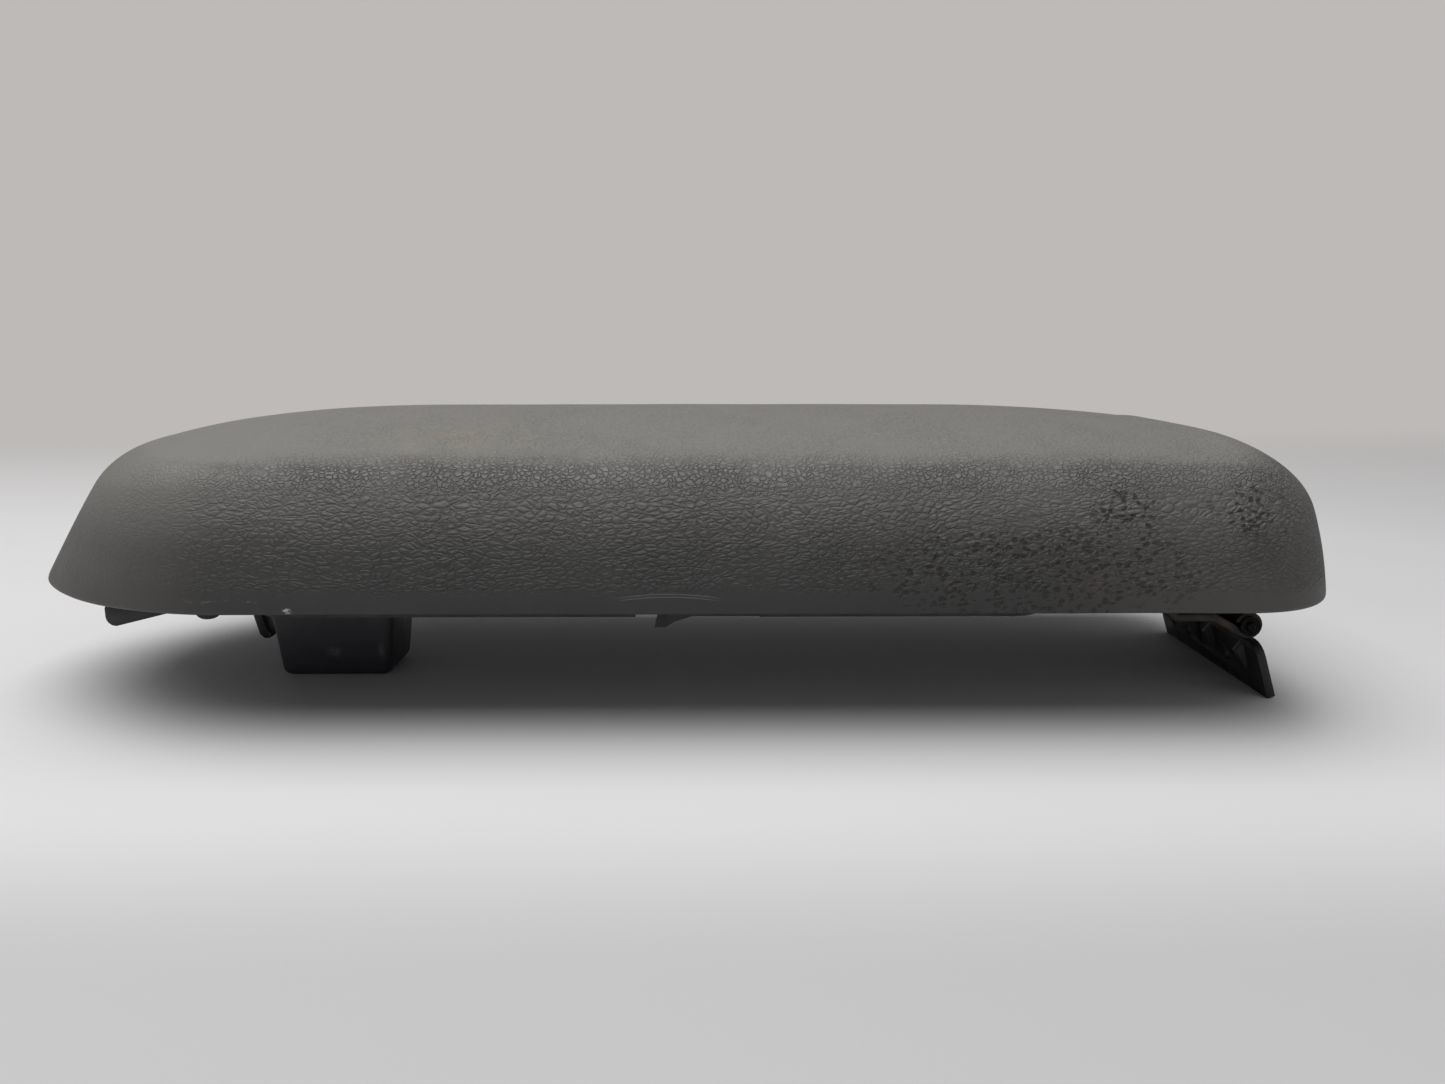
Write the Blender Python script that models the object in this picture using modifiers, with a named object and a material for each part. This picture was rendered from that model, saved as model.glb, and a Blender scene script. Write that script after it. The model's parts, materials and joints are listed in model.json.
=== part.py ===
"""Centre console armrest lid.

A padded lid: a grained skin over foam on a moulded carrier, closed below by an inner panel. A sprung
latch lever sits under the nose and a strap hinge with its console bracket under the tail.

Metres, +Z up. +X points to the hinge at the tail, -X to the latch at the nose. The origin is on the
table under the middle of the pad, and the lid stands on its latch housing and its hinge bracket.
"""

import math

import bmesh
import bpy
from mathutils import Matrix, Vector

MM = 0.001
DEG = math.pi / 180

# Gap kept between pieces that touch
SEAT = 0.3 * MM

# Pad: its size, and its height over the table
PAD_LENGTH = 371.6 * MM
PAD_WIDTH = 140 * MM
PAD_BASE = 34.3 * MM
CROWN_HEIGHT = 48.2 * MM
EDGE_ROUND = 1.5 * MM

# Rounding of the nose and of the tail's corners seen from above. A power of 2 gives an ellipse.
NOSE_REACH = 76 * MM
NOSE_POWER = 1.8
TAIL_CORNER = 37 * MM
TAIL_CORNER_WIDTH = 50 * MM
TAIL_POWER = 2.4

# Pad walls: lean from upright below the top rounding, how far the wall bows out, the rounding, and the
# slope and height where the top surface starts
SIDE_LEAN = 13 * DEG
SIDE_BOW = 3.1 * MM
SIDE_ROUND = 11 * MM
SIDE_SLOPE = 15 * DEG
SIDE_HEIGHT = 37.8 * MM
NOSE_LEAN = 33.6 * DEG
NOSE_BOW = 0
NOSE_ROUND = 28.6 * MM
NOSE_SLOPE = 14.2 * DEG
NOSE_HEIGHT = 39.3 * MM
TAIL_LEAN = 15.2 * DEG
TAIL_BOW = 0
TAIL_ROUND = 34 * MM
TAIL_SLOPE = 10 * DEG
TAIL_HEIGHT = 43.2 * MM

# How far the middle line takes to rise from each end to the crown
NOSE_FALL = 104 * MM
NOSE_FALL_POWER = 3.2
TAIL_FALL = 78 * MM
TAIL_FALL_POWER = 2.2

# Layers of the pad, from outside to inside
SKIN_THICKNESS = 1.2 * MM
SKIN_LIP = 12 * MM
FOAM_SIDE = 5 * MM
FOAM_TOP = 8 * MM
CARRIER_WALL = 2.5 * MM
SMALLEST_ROUND = 1.2 * MM

# Inner panel, with its two stiffening rims and the sprung card clip in each rim
PANEL_INSET = 13 * MM
PANEL_THICKNESS = 2.5 * MM
RIM_DEPTH = 1.2 * MM
RIM_THICKNESS = 2 * MM
RIM_INSET = 1 * MM
RIM_NOSE_X = -107 * MM
RIM_TAIL_X = 103 * MM
RIM_RETURN = 22 * MM
RIM_CORNER = 8 * MM
CLIP_TIP_X = 0
CLIP_ROOT_X = 27 * MM
CLIP_GAP = 6 * MM
CLIP_WIDTH = 8 * MM
CLIP_THICKNESS = 1.4 * MM
CLIP_FLARE = 3 * MM

# Carrier ribs
RIB_THICKNESS = 1.8 * MM
RIB_LIFT = 14 * MM
BOSS_RADIUS = 4 * MM

# Screws: (distance from the middle of the pad, distance from the middle line)
PANEL_SCREWS = (
    (48 * MM - PAD_LENGTH / 2, PAD_WIDTH / 2 - 36 * MM),
    (42 * MM, PAD_WIDTH / 2 - 26 * MM),
    (PAD_LENGTH / 2 - 36 * MM, PAD_WIDTH / 2 - 27 * MM),
)
HOUSING_SCREWS = ((-132 * MM, 14 * MM), (-75 * MM, 10 * MM))
SCREW_RADIUS = 1.6 * MM
SCREW_HEAD_RADIUS = 3.3 * MM
SCREW_HEAD_HEIGHT = 2.1 * MM
SCREW_BITE = 9 * MM

# Rubber bumpers on the panel
BUMPER_X = -122.4 * MM
BUMPER_Y = PAD_WIDTH / 2 - 22 * MM
BUMPER_RADIUS = 3.4 * MM
BUMPER_DROP = 3.4 * MM
BUMPER_STEM = 1.7 * MM

# Latch housing: a flange on the panel, a tapered box that stands on the table, and two ears
FLANGE_THICKNESS = 2 * MM
FLANGE_NOSE_X = -151 * MM
FLANGE_TAIL_X = -69 * MM
FLANGE_HALF_WIDTH = 19 * MM
BOX_NOSE_X = -122 * MM
BOX_TAIL_X = -82 * MM
BOX_HALF_WIDTH = 13.5 * MM
BOX_TAPER = 3.4 * MM
BOX_SIDE_TAPER = 1.5 * MM
BOX_WALL = 2 * MM
BOX_ROUND = 2.5 * MM
EAR_THICKNESS = 2.5 * MM
EAR_RADIUS = 4 * MM

# Latch lever and hook, which turn together about the latch pin
LATCH_X = -144 * MM
LATCH_DROP = 3.7 * MM
LATCH_PIN_RADIUS = 1.5 * MM
LEVER_HALF_WIDTH = 15 * MM
LEVER_HUB_RADIUS = 3.3 * MM
LEVER_HUB_HALF = 9.6 * MM
LEVER_THICKNESS = 3 * MM
LEVER_REACH = 25.5 * MM
LEVER_FALL = 8.6 * MM
LEVER_LIP = 6.8 * MM
LEVER_HOLLOW = 1 * MM
LEVER_ROOT = 3 * MM
NOTCH_ROOM = 2 * MM
ARM_HALF_WIDTH = 5 * MM
ARM_LOW = 2.9 * MM
ARM_HIGH = 1.7 * MM
ARM_REACH = 13.4 * MM
HOOK_THICKNESS = 2.6 * MM
HOOK_HALF_WIDTH = 4.5 * MM
HOOK_TOP = 2 * MM
HOOK_BEND = 4.6 * MM
HOOK_DROP = 15.5 * MM
HOOK_SLANT = 8 * DEG
HOOK_BARB = 1.3 * MM
RIVET_RADIUS = 1.2 * MM
RIVET_HEAD = 2 * MM
RIVET_BITE = 2.5 * MM
RIVET_DROP = 0.6 * MM
SPRING_WIRE = 0.4 * MM
SPRING_TURNS = 4
FLANGE_LEG = 4 * MM
PADDLE_LEG = 1.2 * MM

# Hinge leaf, a strap joggled down from the panel and rolled round the hinge pin
HINGE_X = 170 * MM
HINGE_Z = 21 * MM
HINGE_PIN_RADIUS = 1.4 * MM
HINGE_EYE_RADIUS = 4 * MM
LEAF_THICKNESS = 2.3 * MM
LEAF_HALF_WIDTH = 32 * MM
LEAF_NOSE_X = 105 * MM
LEAF_JOGGLE_X = 140 * MM
LEAF_STEP_X = 149 * MM
LEAF_BEND_X = 160 * MM
LEAF_STEP_RISE = 2.3 * MM
LEAF_SCREWS = ((LEAF_JOGGLE_X - 26 * MM, 20 * MM), (LEAF_JOGGLE_X - 8 * MM, 20 * MM))
EYE_SWEEP = 285 * DEG
EYE_OUTER_WIDTH = 10 * MM
EYE_MIDDLE_HALF = 7 * MM
EYE_ROOM = 2 * MM

# Console bracket, a plate that hangs from the hinge pin and leans out to the tail
BRACKET_LEAN = 18 * DEG
BRACKET_THICKNESS = 2.4 * MM
BRACKET_HALF_WIDTH = 35.5 * MM
BRACKET_TOP_GAP = 0.8 * MM
BRACKET_CORNER = 4 * MM
KNUCKLE_STEP = 0.2 * MM
GUSSET_THICKNESS = 2 * MM
GUSSET_DEPTH = 2.6 * MM
GUSSET_LIFT = 2 * MM
GUSSET_PLACES = (6 * MM, 26.5 * MM)
BRACKET_HOLE_Y = 14 * MM
BRACKET_HOLE_DROP = 14.4 * MM
BRACKET_HOLE_RADIUS = 2.2 * MM
CIRCLIP_THICKNESS = 0.8 * MM
CIRCLIP_RADIUS = 3 * MM
PIN_END = 0.6 * MM

# Facets
NOSE_STEPS = 9
SIDE_STEPS = 7
CORNER_STEPS = 6
TAIL_STEPS = 2
EDGE_STEPS = 3
WALL_STEPS = 3
ROUND_STEPS = 5
TOP_STEPS = 4
BEND_STEPS = 4
ROUND_SIDES = 12
FINE_SIDES = 16

# Places that follow from the sizes above
PANEL_TOP = PAD_BASE - SEAT
PANEL_BOTTOM = PANEL_TOP - PANEL_THICKNESS
RIM_HALF_WIDTH = PAD_WIDTH / 2 - PANEL_INSET - RIM_INSET
FLANGE_TOP = PANEL_BOTTOM - SEAT
FLANGE_BOTTOM = FLANGE_TOP - FLANGE_THICKNESS
LEAF_TOP = PANEL_BOTTOM - SEAT
LEAF_BOTTOM = LEAF_TOP - LEAF_THICKNESS
LATCH_Z = FLANGE_BOTTOM - LATCH_DROP
PIN_HOLE = LATCH_PIN_RADIUS + SEAT
HINGE_HOLE = HINGE_EYE_RADIUS - LEAF_THICKNESS


def new_collection(name):
    collection = bpy.data.collections.new(name)
    bpy.context.scene.collection.children.link(collection)
    return collection


def clear_scene():
    for item in list(bpy.data.objects):
        bpy.data.objects.remove(item, do_unlink=True)


def material(name, colour, roughness, metallic=0.0):
    made = bpy.data.materials.new(name)
    made.use_nodes = True
    shader = made.node_tree.nodes["Principled BSDF"]
    shader.inputs["Base Color"].default_value = (*colour, 1.0)
    shader.inputs["Roughness"].default_value = roughness
    shader.inputs["Metallic"].default_value = metallic
    return made


def mesh_object(name, bm, collection):
    """A new object from bmesh data."""
    mesh = bpy.data.meshes.new(name)
    bm.to_mesh(mesh)
    bm.free()
    item = bpy.data.objects.new(name, mesh)
    collection.objects.link(item)
    return item


def finish(item, made, smooth_angle=35 * DEG):
    """Gives a part its material and smooth shading between its sharp edges."""
    item.data.materials.append(made)
    item.data.shade_smooth()
    item.data.set_sharp_from_angle(angle=smooth_angle)
    return item


def helper(item):
    """Marks a cutter or an added shape, which isn't a part."""
    item.hide_render = True
    item.display_type = "WIRE"
    return item


def box(name, low, high):
    """A helper box between two corners."""
    bm = bmesh.new()
    bmesh.ops.create_cube(bm, size=1)
    low, high = Vector(low), Vector(high)
    bmesh.ops.scale(bm, vec=high - low, verts=bm.verts)
    bmesh.ops.translate(bm, vec=(low + high) / 2, verts=bm.verts)
    return helper(mesh_object(name, bm, CONSTRUCTION))


def add_rod(bm, radius, start, end, sides=ROUND_SIDES):
    """Adds a closed cylinder between two points."""
    start, end = Vector(start), Vector(end)
    turn = (end - start).to_track_quat("Z", "Y").to_matrix().to_4x4()
    bmesh.ops.create_cone(
        bm,
        cap_ends=True,
        segments=sides,
        radius1=radius,
        radius2=radius,
        depth=(end - start).length,
        matrix=Matrix.Translation((start + end) / 2) @ turn,
    )


def rods(name, places, radius, low, high, sides=ROUND_SIDES):
    """A helper of upright cylinders at several places, between two heights."""
    bm = bmesh.new()
    for x, y in places:
        add_rod(bm, radius, (x, y, low), (x, y, high), sides)
    return helper(mesh_object(name, bm, CONSTRUCTION))


def cross_rod(name, radius, x, z, reach, sides=FINE_SIDES):
    """A helper cylinder along Y through (x, z)."""
    bm = bmesh.new()
    add_rod(bm, radius, (x, -reach, z), (x, reach, z), sides)
    return helper(mesh_object(name, bm, CONSTRUCTION))


def flat_solid(name, outline, low, high, collection, upright=False):
    """A flat outline given thickness. It lies in XY between two heights or, when upright, stands in XZ
    between two distances along Y."""
    curve = bpy.data.curves.new(name, "CURVE")
    curve.dimensions = "2D"
    curve.fill_mode = "BOTH"
    curve.extrude = (high - low) / 2
    spline = curve.splines.new("POLY")
    spline.points.add(len(outline) - 1)
    for point, (across, along) in zip(spline.points, outline):
        point.co = (across, along, 0, 1)
    spline.use_cyclic_u = True
    drawn = bpy.data.objects.new(name + "_outline", curve)
    bpy.context.scene.collection.objects.link(drawn)
    graph = bpy.context.evaluated_depsgraph_get()
    mesh = bpy.data.meshes.new_from_object(drawn.evaluated_get(graph))
    bpy.data.objects.remove(drawn, do_unlink=True)
    bm = bmesh.new()
    bm.from_mesh(mesh)
    bpy.data.meshes.remove(mesh)
    bmesh.ops.remove_doubles(bm, verts=bm.verts, dist=0.001 * MM)
    if upright:
        place = Matrix.Translation((0, (low + high) / 2, 0)) @ Matrix.Rotation(90 * DEG, 4, "X")
    else:
        place = Matrix.Translation((0, 0, (low + high) / 2))
    bmesh.ops.transform(bm, matrix=place, verts=bm.verts)
    bmesh.ops.dissolve_limit(bm, angle_limit=0.5 * DEG, verts=bm.verts, edges=bm.edges)
    bmesh.ops.recalc_face_normals(bm, faces=bm.faces)
    return mesh_object(name, bm, collection)


def boolean(item, other, operation):
    modifier = item.modifiers.new(operation.title(), "BOOLEAN")
    modifier.operation = operation
    modifier.solver = "EXACT"
    modifier.object = other


def cut(item, *others):
    for other in others:
        boolean(item, other, "DIFFERENCE")


def join(item, *others):
    for other in others:
        boolean(item, other, "UNION")


def bevel(item, width, segments=2, angle=40 * DEG):
    modifier = item.modifiers.new("Bevel", "BEVEL")
    modifier.width = width
    modifier.segments = segments
    modifier.limit_method = "ANGLE"
    modifier.angle_limit = angle
    modifier.use_clamp_overlap = True


def mirror_y(item):
    modifier = item.modifiers.new("Mirror", "MIRROR")
    modifier.use_axis = (False, True, False)
    modifier.merge_threshold = 0.02 * MM


def arc(centre, radius, start, sweep, steps):
    """Points along an arc, both ends included."""
    points = []
    for step in range(steps + 1):
        angle = start + sweep * step / steps
        points.append((centre[0] + radius * math.cos(angle), centre[1] + radius * math.sin(angle)))
    return points


def both_sides(places):
    """Each place, and its mirror image across the middle line."""
    return [(x, side * y) for x, y in places for side in (-1, 1)]


# Pad surfaces
def wall_form(wall):
    """The lean at a wall's foot, and the heights where its foot rounding ends and its top rounding starts."""
    lean, bow, rounding, slope, height = wall
    reach = rounding * math.tan((90 * DEG - lean - slope) / 2)
    top = height - reach * (math.sin(slope) + math.cos(lean))
    foot_lean = math.atan(math.tan(lean) - 2 * bow / (top - EDGE_ROUND))
    return foot_lean, EDGE_ROUND * (1 - math.sin(foot_lean)), top


def wall_stations(wall, side_depth, top_depth, foot):
    """(inset, height) up one wall of the pad, on a surface that lies the given depths inside the skin."""
    lean, bow, rounding, slope, height = wall
    foot_lean, lowest, top = wall_form(wall)
    turn = 90 * DEG - lean - slope
    corner_height = height - rounding * math.tan(turn / 2) * math.sin(slope)
    corner_inset = (corner_height - lowest) * math.tan(lean)
    spread = math.cos(lean + slope)
    corner_inset += (side_depth * math.cos(slope) - top_depth * math.sin(lean)) / spread
    corner_height -= (top_depth * math.cos(lean) - side_depth * math.sin(slope)) / spread
    radius = max(rounding - max(side_depth, top_depth), SMALLEST_ROUND)
    reach = radius * math.tan(turn / 2)
    inset = corner_inset - reach * math.sin(lean)
    rise = corner_height - reach * math.cos(lean)
    stations = []
    for step in range(WALL_STEPS):
        level = foot + (rise - foot) * step / WALL_STEPS
        stations.append((inset - (rise - level) * math.tan(lean), level))
    first = 90 * DEG - lean
    for step in range(ROUND_STEPS + 1):
        angle = first - turn * step / ROUND_STEPS
        stations.append(
            (
                inset + radius * (math.sin(first) - math.sin(angle)),
                rise + radius * (math.cos(angle) - math.cos(first)),
            )
        )
    shares = [max((top - level) / (top - lowest), 0) for inset, level in stations]
    return [(inset + bow * (share**2 - 1), level) for (inset, level), share in zip(stations, shares)]


def edge_stations(wall):
    """(inset, height) of the skin's outside from the end of its turned-under lip up one wall."""
    foot_lean, lowest, top = wall_form(wall)
    stations = [(SKIN_LIP, 0)]
    for step in range(EDGE_STEPS):
        angle = (90 * DEG - foot_lean) * step / EDGE_STEPS
        inset = EDGE_ROUND * (math.cos(foot_lean) - math.sin(angle))
        stations.append((inset, EDGE_ROUND * (1 - math.cos(angle))))
    return stations + wall_stations(wall, 0, 0, lowest)


def ring(side, nose, tail):
    """The near half of the pad's outline at one station, from the nose round to the tail. Each wall has
    its own inset and height, and they blend round the corners."""
    half = PAD_WIDTH / 2 - side[0]
    reach = NOSE_REACH - nose[0]
    nose_x = NOSE_REACH - PAD_LENGTH / 2
    tail_x = PAD_LENGTH / 2 - TAIL_CORNER
    corner_y = PAD_WIDTH / 2 - TAIL_CORNER_WIDTH
    points = []
    for step in range(NOSE_STEPS + 1):
        along, across = quarter(step / NOSE_STEPS, NOSE_POWER)
        share = math.cos(90 * DEG * step / NOSE_STEPS) ** 2
        height = side[1] * (1 - share) + nose[1] * share
        points.append(Vector((nose_x - reach * along, -half * across, height)))
    for step in range(1, SIDE_STEPS):
        points.append(Vector((nose_x + (tail_x - nose_x) * step / SIDE_STEPS, -half, side[1])))
    for step in range(CORNER_STEPS + 1):
        across, along = quarter(step / CORNER_STEPS, TAIL_POWER)
        share = math.sin(90 * DEG * step / CORNER_STEPS) ** 2
        height = side[1] * (1 - share) + tail[1] * share
        x = tail_x + (TAIL_CORNER - tail[0]) * along
        points.append(Vector((x, -corner_y - (half - corner_y) * across, height)))
    for step in range(1, TAIL_STEPS + 1):
        points.append(Vector((tail_x + TAIL_CORNER - tail[0], -corner_y * (1 - step / TAIL_STEPS), tail[1])))
    for point in points:
        point.z += PAD_BASE
    return points


def quarter(share, power):
    """A point on a quarter of a round with the given power, at a share of its way: it runs from (1, 0) to
    (0, 1)."""
    angle = 90 * DEG * share
    return max(math.cos(angle), 0) ** (2 / power) * (share < 1), math.sin(angle) ** (2 / power)


def top_rows(edge, crown):
    """Rows from the edge of the top surface in to the middle line, crowned across and falling at the ends."""
    start, end = edge[0], edge[-1]
    rows = []
    for step in range(1, TOP_STEPS + 1):
        share = step / TOP_STEPS
        rise = 1 - (1 - share) ** 2
        row = []
        for outer, place in zip(edge, travel(edge)):
            point = outer.lerp(Vector((start.x + (end.x - start.x) * place, 0, 0)), share)
            nose = max(1 - (point.x - start.x) / NOSE_FALL, 0) ** NOSE_FALL_POWER
            tail = max(1 - (end.x - point.x) / TAIL_FALL, 0) ** TAIL_FALL_POWER
            top = PAD_BASE + crown
            middle = top - (top - start.z) * nose - (top - end.z) * tail
            point.z = outer.z + (middle - outer.z) * rise
            row.append(point)
        rows.append(row)
    return rows


def travel(points):
    """How far along the outline each point lies, from 0 to 1."""
    lengths = [0.0]
    for one, other in zip(points, points[1:]):
        lengths.append(lengths[-1] + (other - one).length)
    return [length / lengths[-1] for length in lengths]


def surface(side_depth, top_depth, foot):
    """Rows of a surface inside the skin, from its foot up to the middle line."""
    columns = [wall_stations(wall, side_depth, top_depth, foot) for wall in PAD_WALLS]
    rows = [ring(*stations) for stations in zip(*columns)]
    return rows + top_rows(rows[-1], CROWN_HEIGHT - top_depth)


def outer_surface():
    """Rows of the skin's outside, from its lip up to the middle line."""
    rows = [ring(*stations) for stations in zip(*[edge_stations(wall) for wall in PAD_WALLS])]
    return rows + top_rows(rows[-1], CROWN_HEIGHT)


def pad_loft(name, inside, outside, collection):
    """Joins rows of points into the near half of a layer, and mirrors it. The inside runs down and the
    outside up. The rows differ in shape, so the faces between them are made here, split the same way on
    every layer, so that neighbouring layers stay parallel."""
    bm = bmesh.new()
    grid = [[bm.verts.new(point) for point in row] for row in inside + outside]
    for number, (lower, upper) in enumerate(zip(grid, grid[1:])):
        for column in range(len(lower) - 1):
            corners = (lower[column], lower[column + 1], upper[column + 1], upper[column])
            if number < len(inside):
                corners = corners[1:] + corners[:1]
            bm.faces.new((corners[0], corners[1], corners[2]))
            bm.faces.new((corners[0], corners[2], corners[3]))
    bmesh.ops.remove_doubles(bm, verts=bm.verts, dist=0.001 * MM)
    item = mesh_object(name, bm, collection)
    mirror_y(item)
    return item


def plan_outline(inset):
    """The pad's outline seen from above, drawn in by the inset, all the way round."""
    near = [(point.x, point.y) for point in ring((inset, 0), (inset, 0), (inset, 0))]
    return near + [(x, -y) for x, y in reversed(near[1:-1])]


# Pad pieces
def build_cover_skin():
    """The grained skin, turned under at its edge."""
    inside = surface(SKIN_THICKNESS, SKIN_THICKNESS, SKIN_THICKNESS)
    lip_end = (SKIN_LIP, SKIN_THICKNESS)
    inside.insert(0, ring(lip_end, lip_end, lip_end))
    item = pad_loft("cover_skin", inside[::-1], outer_surface(), PARTS)
    finish(item, material("grained_skin", (0.085, 0.083, 0.078), 0.6))


def build_foam_pad():
    """The moulded foam under the skin, thicker on top."""
    depth = SKIN_THICKNESS + SEAT
    outside = surface(depth, depth, depth)
    inside = surface(depth + FOAM_SIDE, depth + FOAM_TOP, depth)
    item = pad_loft("foam_pad", inside[::-1], outside, PARTS)
    finish(item, material("moulded_foam", (0.45, 0.4, 0.28), 0.95))


def build_upper_carrier():
    """The rigid tray that carries the foam, with cross ribs and screw posts inside."""
    foot = SKIN_THICKNESS + SEAT
    side = foot + FOAM_SIDE + SEAT
    top = foot + FOAM_TOP + SEAT
    outside = surface(side, top, foot)
    inside = surface(side + CARRIER_WALL, top + CARRIER_WALL, foot)
    item = pad_loft("upper_carrier", inside[::-1], outside, PARTS)

    middle = surface(side + CARRIER_WALL / 2, top + CARRIER_WALL / 2, 0)
    floor = [Vector((point.x, 0, point.z)) for point in middle[0]]
    for point, share in zip(floor, travel(middle[0])):
        point.x = middle[0][0].x + (middle[0][-1].x - middle[0][0].x) * share
    core = helper(pad_loft("carrier_core", [floor], middle, CONSTRUCTION))

    bm = bmesh.new()
    places = both_sides(PANEL_SCREWS + HOUSING_SCREWS + LEAF_SCREWS)
    for x, y in places:
        add_rod(bm, BOSS_RADIUS, (x, y, PAD_BASE), (x, y, PAD_BASE + CROWN_HEIGHT), ROUND_SIDES)
    posts = helper(mesh_object("carrier_posts", bm, CONSTRUCTION))
    boolean(posts, core, "INTERSECT")

    bm = bmesh.new()
    for x in sorted({x for x, y in PANEL_SCREWS + HOUSING_SCREWS}):
        place = Matrix.Translation((x, 0, PAD_BASE + RIB_LIFT + CROWN_HEIGHT / 2))
        size = Matrix.Diagonal((RIB_THICKNESS, PAD_WIDTH, CROWN_HEIGHT, 1))
        bmesh.ops.create_cube(bm, size=1, matrix=place @ size)
    ribs = helper(mesh_object("carrier_ribs", bm, CONSTRUCTION))
    boolean(ribs, core, "INTERSECT")

    holes = rods(
        "carrier_holes", places, SCREW_RADIUS + SEAT, PAD_BASE - MM, PAD_BASE + SCREW_BITE + SEAT
    )
    join(item, posts, ribs)
    cut(item, holes)
    finish(item, material("carrier_plastic", (0.02, 0.02, 0.022), 0.55))


def rim_outline():
    """One stiffening rim of the panel seen from above: a long wall with both its ends turned inwards."""
    outer = -RIM_HALF_WIDTH
    inner = outer + RIM_THICKNESS
    nose, tail = RIM_NOSE_X, RIM_TAIL_X
    small = RIM_CORNER - RIM_THICKNESS
    back = outer + RIM_RETURN
    points = [(nose, back)]
    points += arc((nose + RIM_CORNER, outer + RIM_CORNER), RIM_CORNER, 180 * DEG, 90 * DEG, BEND_STEPS)
    points += arc((tail - RIM_CORNER, outer + RIM_CORNER), RIM_CORNER, 270 * DEG, 90 * DEG, BEND_STEPS)
    points += [(tail, back), (tail - RIM_THICKNESS, back)]
    points += arc((tail - RIM_CORNER, inner + small), small, 0, -90 * DEG, BEND_STEPS)
    points += arc((nose + RIM_CORNER, inner + small), small, 270 * DEG, -90 * DEG, BEND_STEPS)
    points += [(nose + RIM_THICKNESS, back)]
    return points


def clip_outline():
    """The card clip seen from the side: a springy finger that flares down at its free tip."""
    top = PANEL_BOTTOM + SEAT
    low = top - CLIP_THICKNESS
    tip = low - CLIP_FLARE
    root = CLIP_ROOT_X + RIM_THICKNESS
    knee = CLIP_TIP_X + CLIP_FLARE
    return [
        (root, top),
        (root, low),
        (knee + 2 * CLIP_FLARE, low),
        (knee + CLIP_FLARE / 2, low - CLIP_THICKNESS),
        (knee - CLIP_FLARE / 3, tip),
        (CLIP_TIP_X - CLIP_FLARE / 3, tip),
        (CLIP_TIP_X, top - CLIP_THICKNESS / 2),
        (CLIP_TIP_X, top),
    ]


def build_inner_panel():
    """The moulded panel that closes the lid from below."""
    item = flat_solid("inner_panel", plan_outline(PANEL_INSET), PANEL_BOTTOM, PANEL_TOP, PARTS)
    sunk = PANEL_THICKNESS / 3
    rim = helper(
        flat_solid("panel_rim", rim_outline(), PANEL_BOTTOM - RIM_DEPTH, PANEL_BOTTOM + sunk, CONSTRUCTION)
    )
    mirror_y(rim)
    join(item, rim)

    outer = RIM_HALF_WIDTH - RIM_THICKNESS / 10
    inner = outer - CLIP_WIDTH
    room = (CLIP_TIP_X - CLIP_GAP, CLIP_ROOT_X)
    for side, name in ((-1, "near"), (1, "far")):
        low, high = sorted((side * (inner - 2 * SEAT), side * (outer + 2 * SEAT)))
        window = box(
            name + "_clip_window",
            (room[0], low, PANEL_BOTTOM - 2 * RIM_DEPTH),
            (room[1], high, PANEL_TOP + MM),
        )
        cut(item, window)
        low, high = sorted((side * inner, side * outer))
        finger = flat_solid(name + "_clip", clip_outline(), low, high, CONSTRUCTION, upright=True)
        join(item, helper(finger))

    places = both_sides(PANEL_SCREWS + HOUSING_SCREWS + LEAF_SCREWS)
    low, high = PANEL_BOTTOM - MM, PANEL_TOP + MM
    cut(item, rods("panel_holes", places, SCREW_RADIUS + SEAT, low, high))
    bumpers = both_sides([(BUMPER_X, BUMPER_Y)])
    cut(item, rods("bumper_holes", bumpers, BUMPER_STEM + SEAT, low, high))
    finish(item, material("panel_plastic", (0.004, 0.004, 0.0045), 0.42))


def turned(name, profile, sides, made, place):
    """A round piece: a profile of (radius, height), from the top down its outer side, turned about Z."""
    bm = bmesh.new()
    points = [bm.verts.new((radius, 0, height)) for radius, height in profile]
    for one, other in zip(points, points[1:]):
        bm.edges.new((one, other))
    item = mesh_object(name, bm, PARTS)
    item.data.materials.append(made)
    modifier = item.modifiers.new("Screw", "SCREW")
    modifier.axis = "Z"
    modifier.steps = sides
    modifier.render_steps = sides
    modifier.use_merge_vertices = True
    modifier.merge_threshold = 0.01 * MM
    modifier.use_smooth_shade = True
    item.location = place
    return item


def build_screws():
    """Pan-head screws, driven up from below into the carrier's posts."""
    steel = material("screw_steel", (0.05, 0.05, 0.055), 0.35, 1.0)
    groups = (
        ("panel_screw", PANEL_SCREWS, PANEL_BOTTOM),
        ("housing_screw", HOUSING_SCREWS, FLANGE_BOTTOM),
        ("leaf_screw", LEAF_SCREWS, LEAF_BOTTOM),
    )
    for name, places, seat in groups:
        length = PAD_BASE + SCREW_BITE - seat
        profile = [
            (0, length),
            (SCREW_RADIUS * 0.6, length),
            (SCREW_RADIUS, length - SCREW_RADIUS),
            (SCREW_RADIUS, -SEAT),
            (SCREW_HEAD_RADIUS, -SEAT),
            (SCREW_HEAD_RADIUS, -SEAT - SCREW_HEAD_HEIGHT * 0.4),
            (SCREW_HEAD_RADIUS * 0.7, -SEAT - SCREW_HEAD_HEIGHT),
            (0, -SEAT - SCREW_HEAD_HEIGHT),
        ]
        for number, (x, y) in enumerate(both_sides(places), 1):
            turned(f"{name}_{number}", profile, ROUND_SIDES, steel, (x, y, seat))


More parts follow.
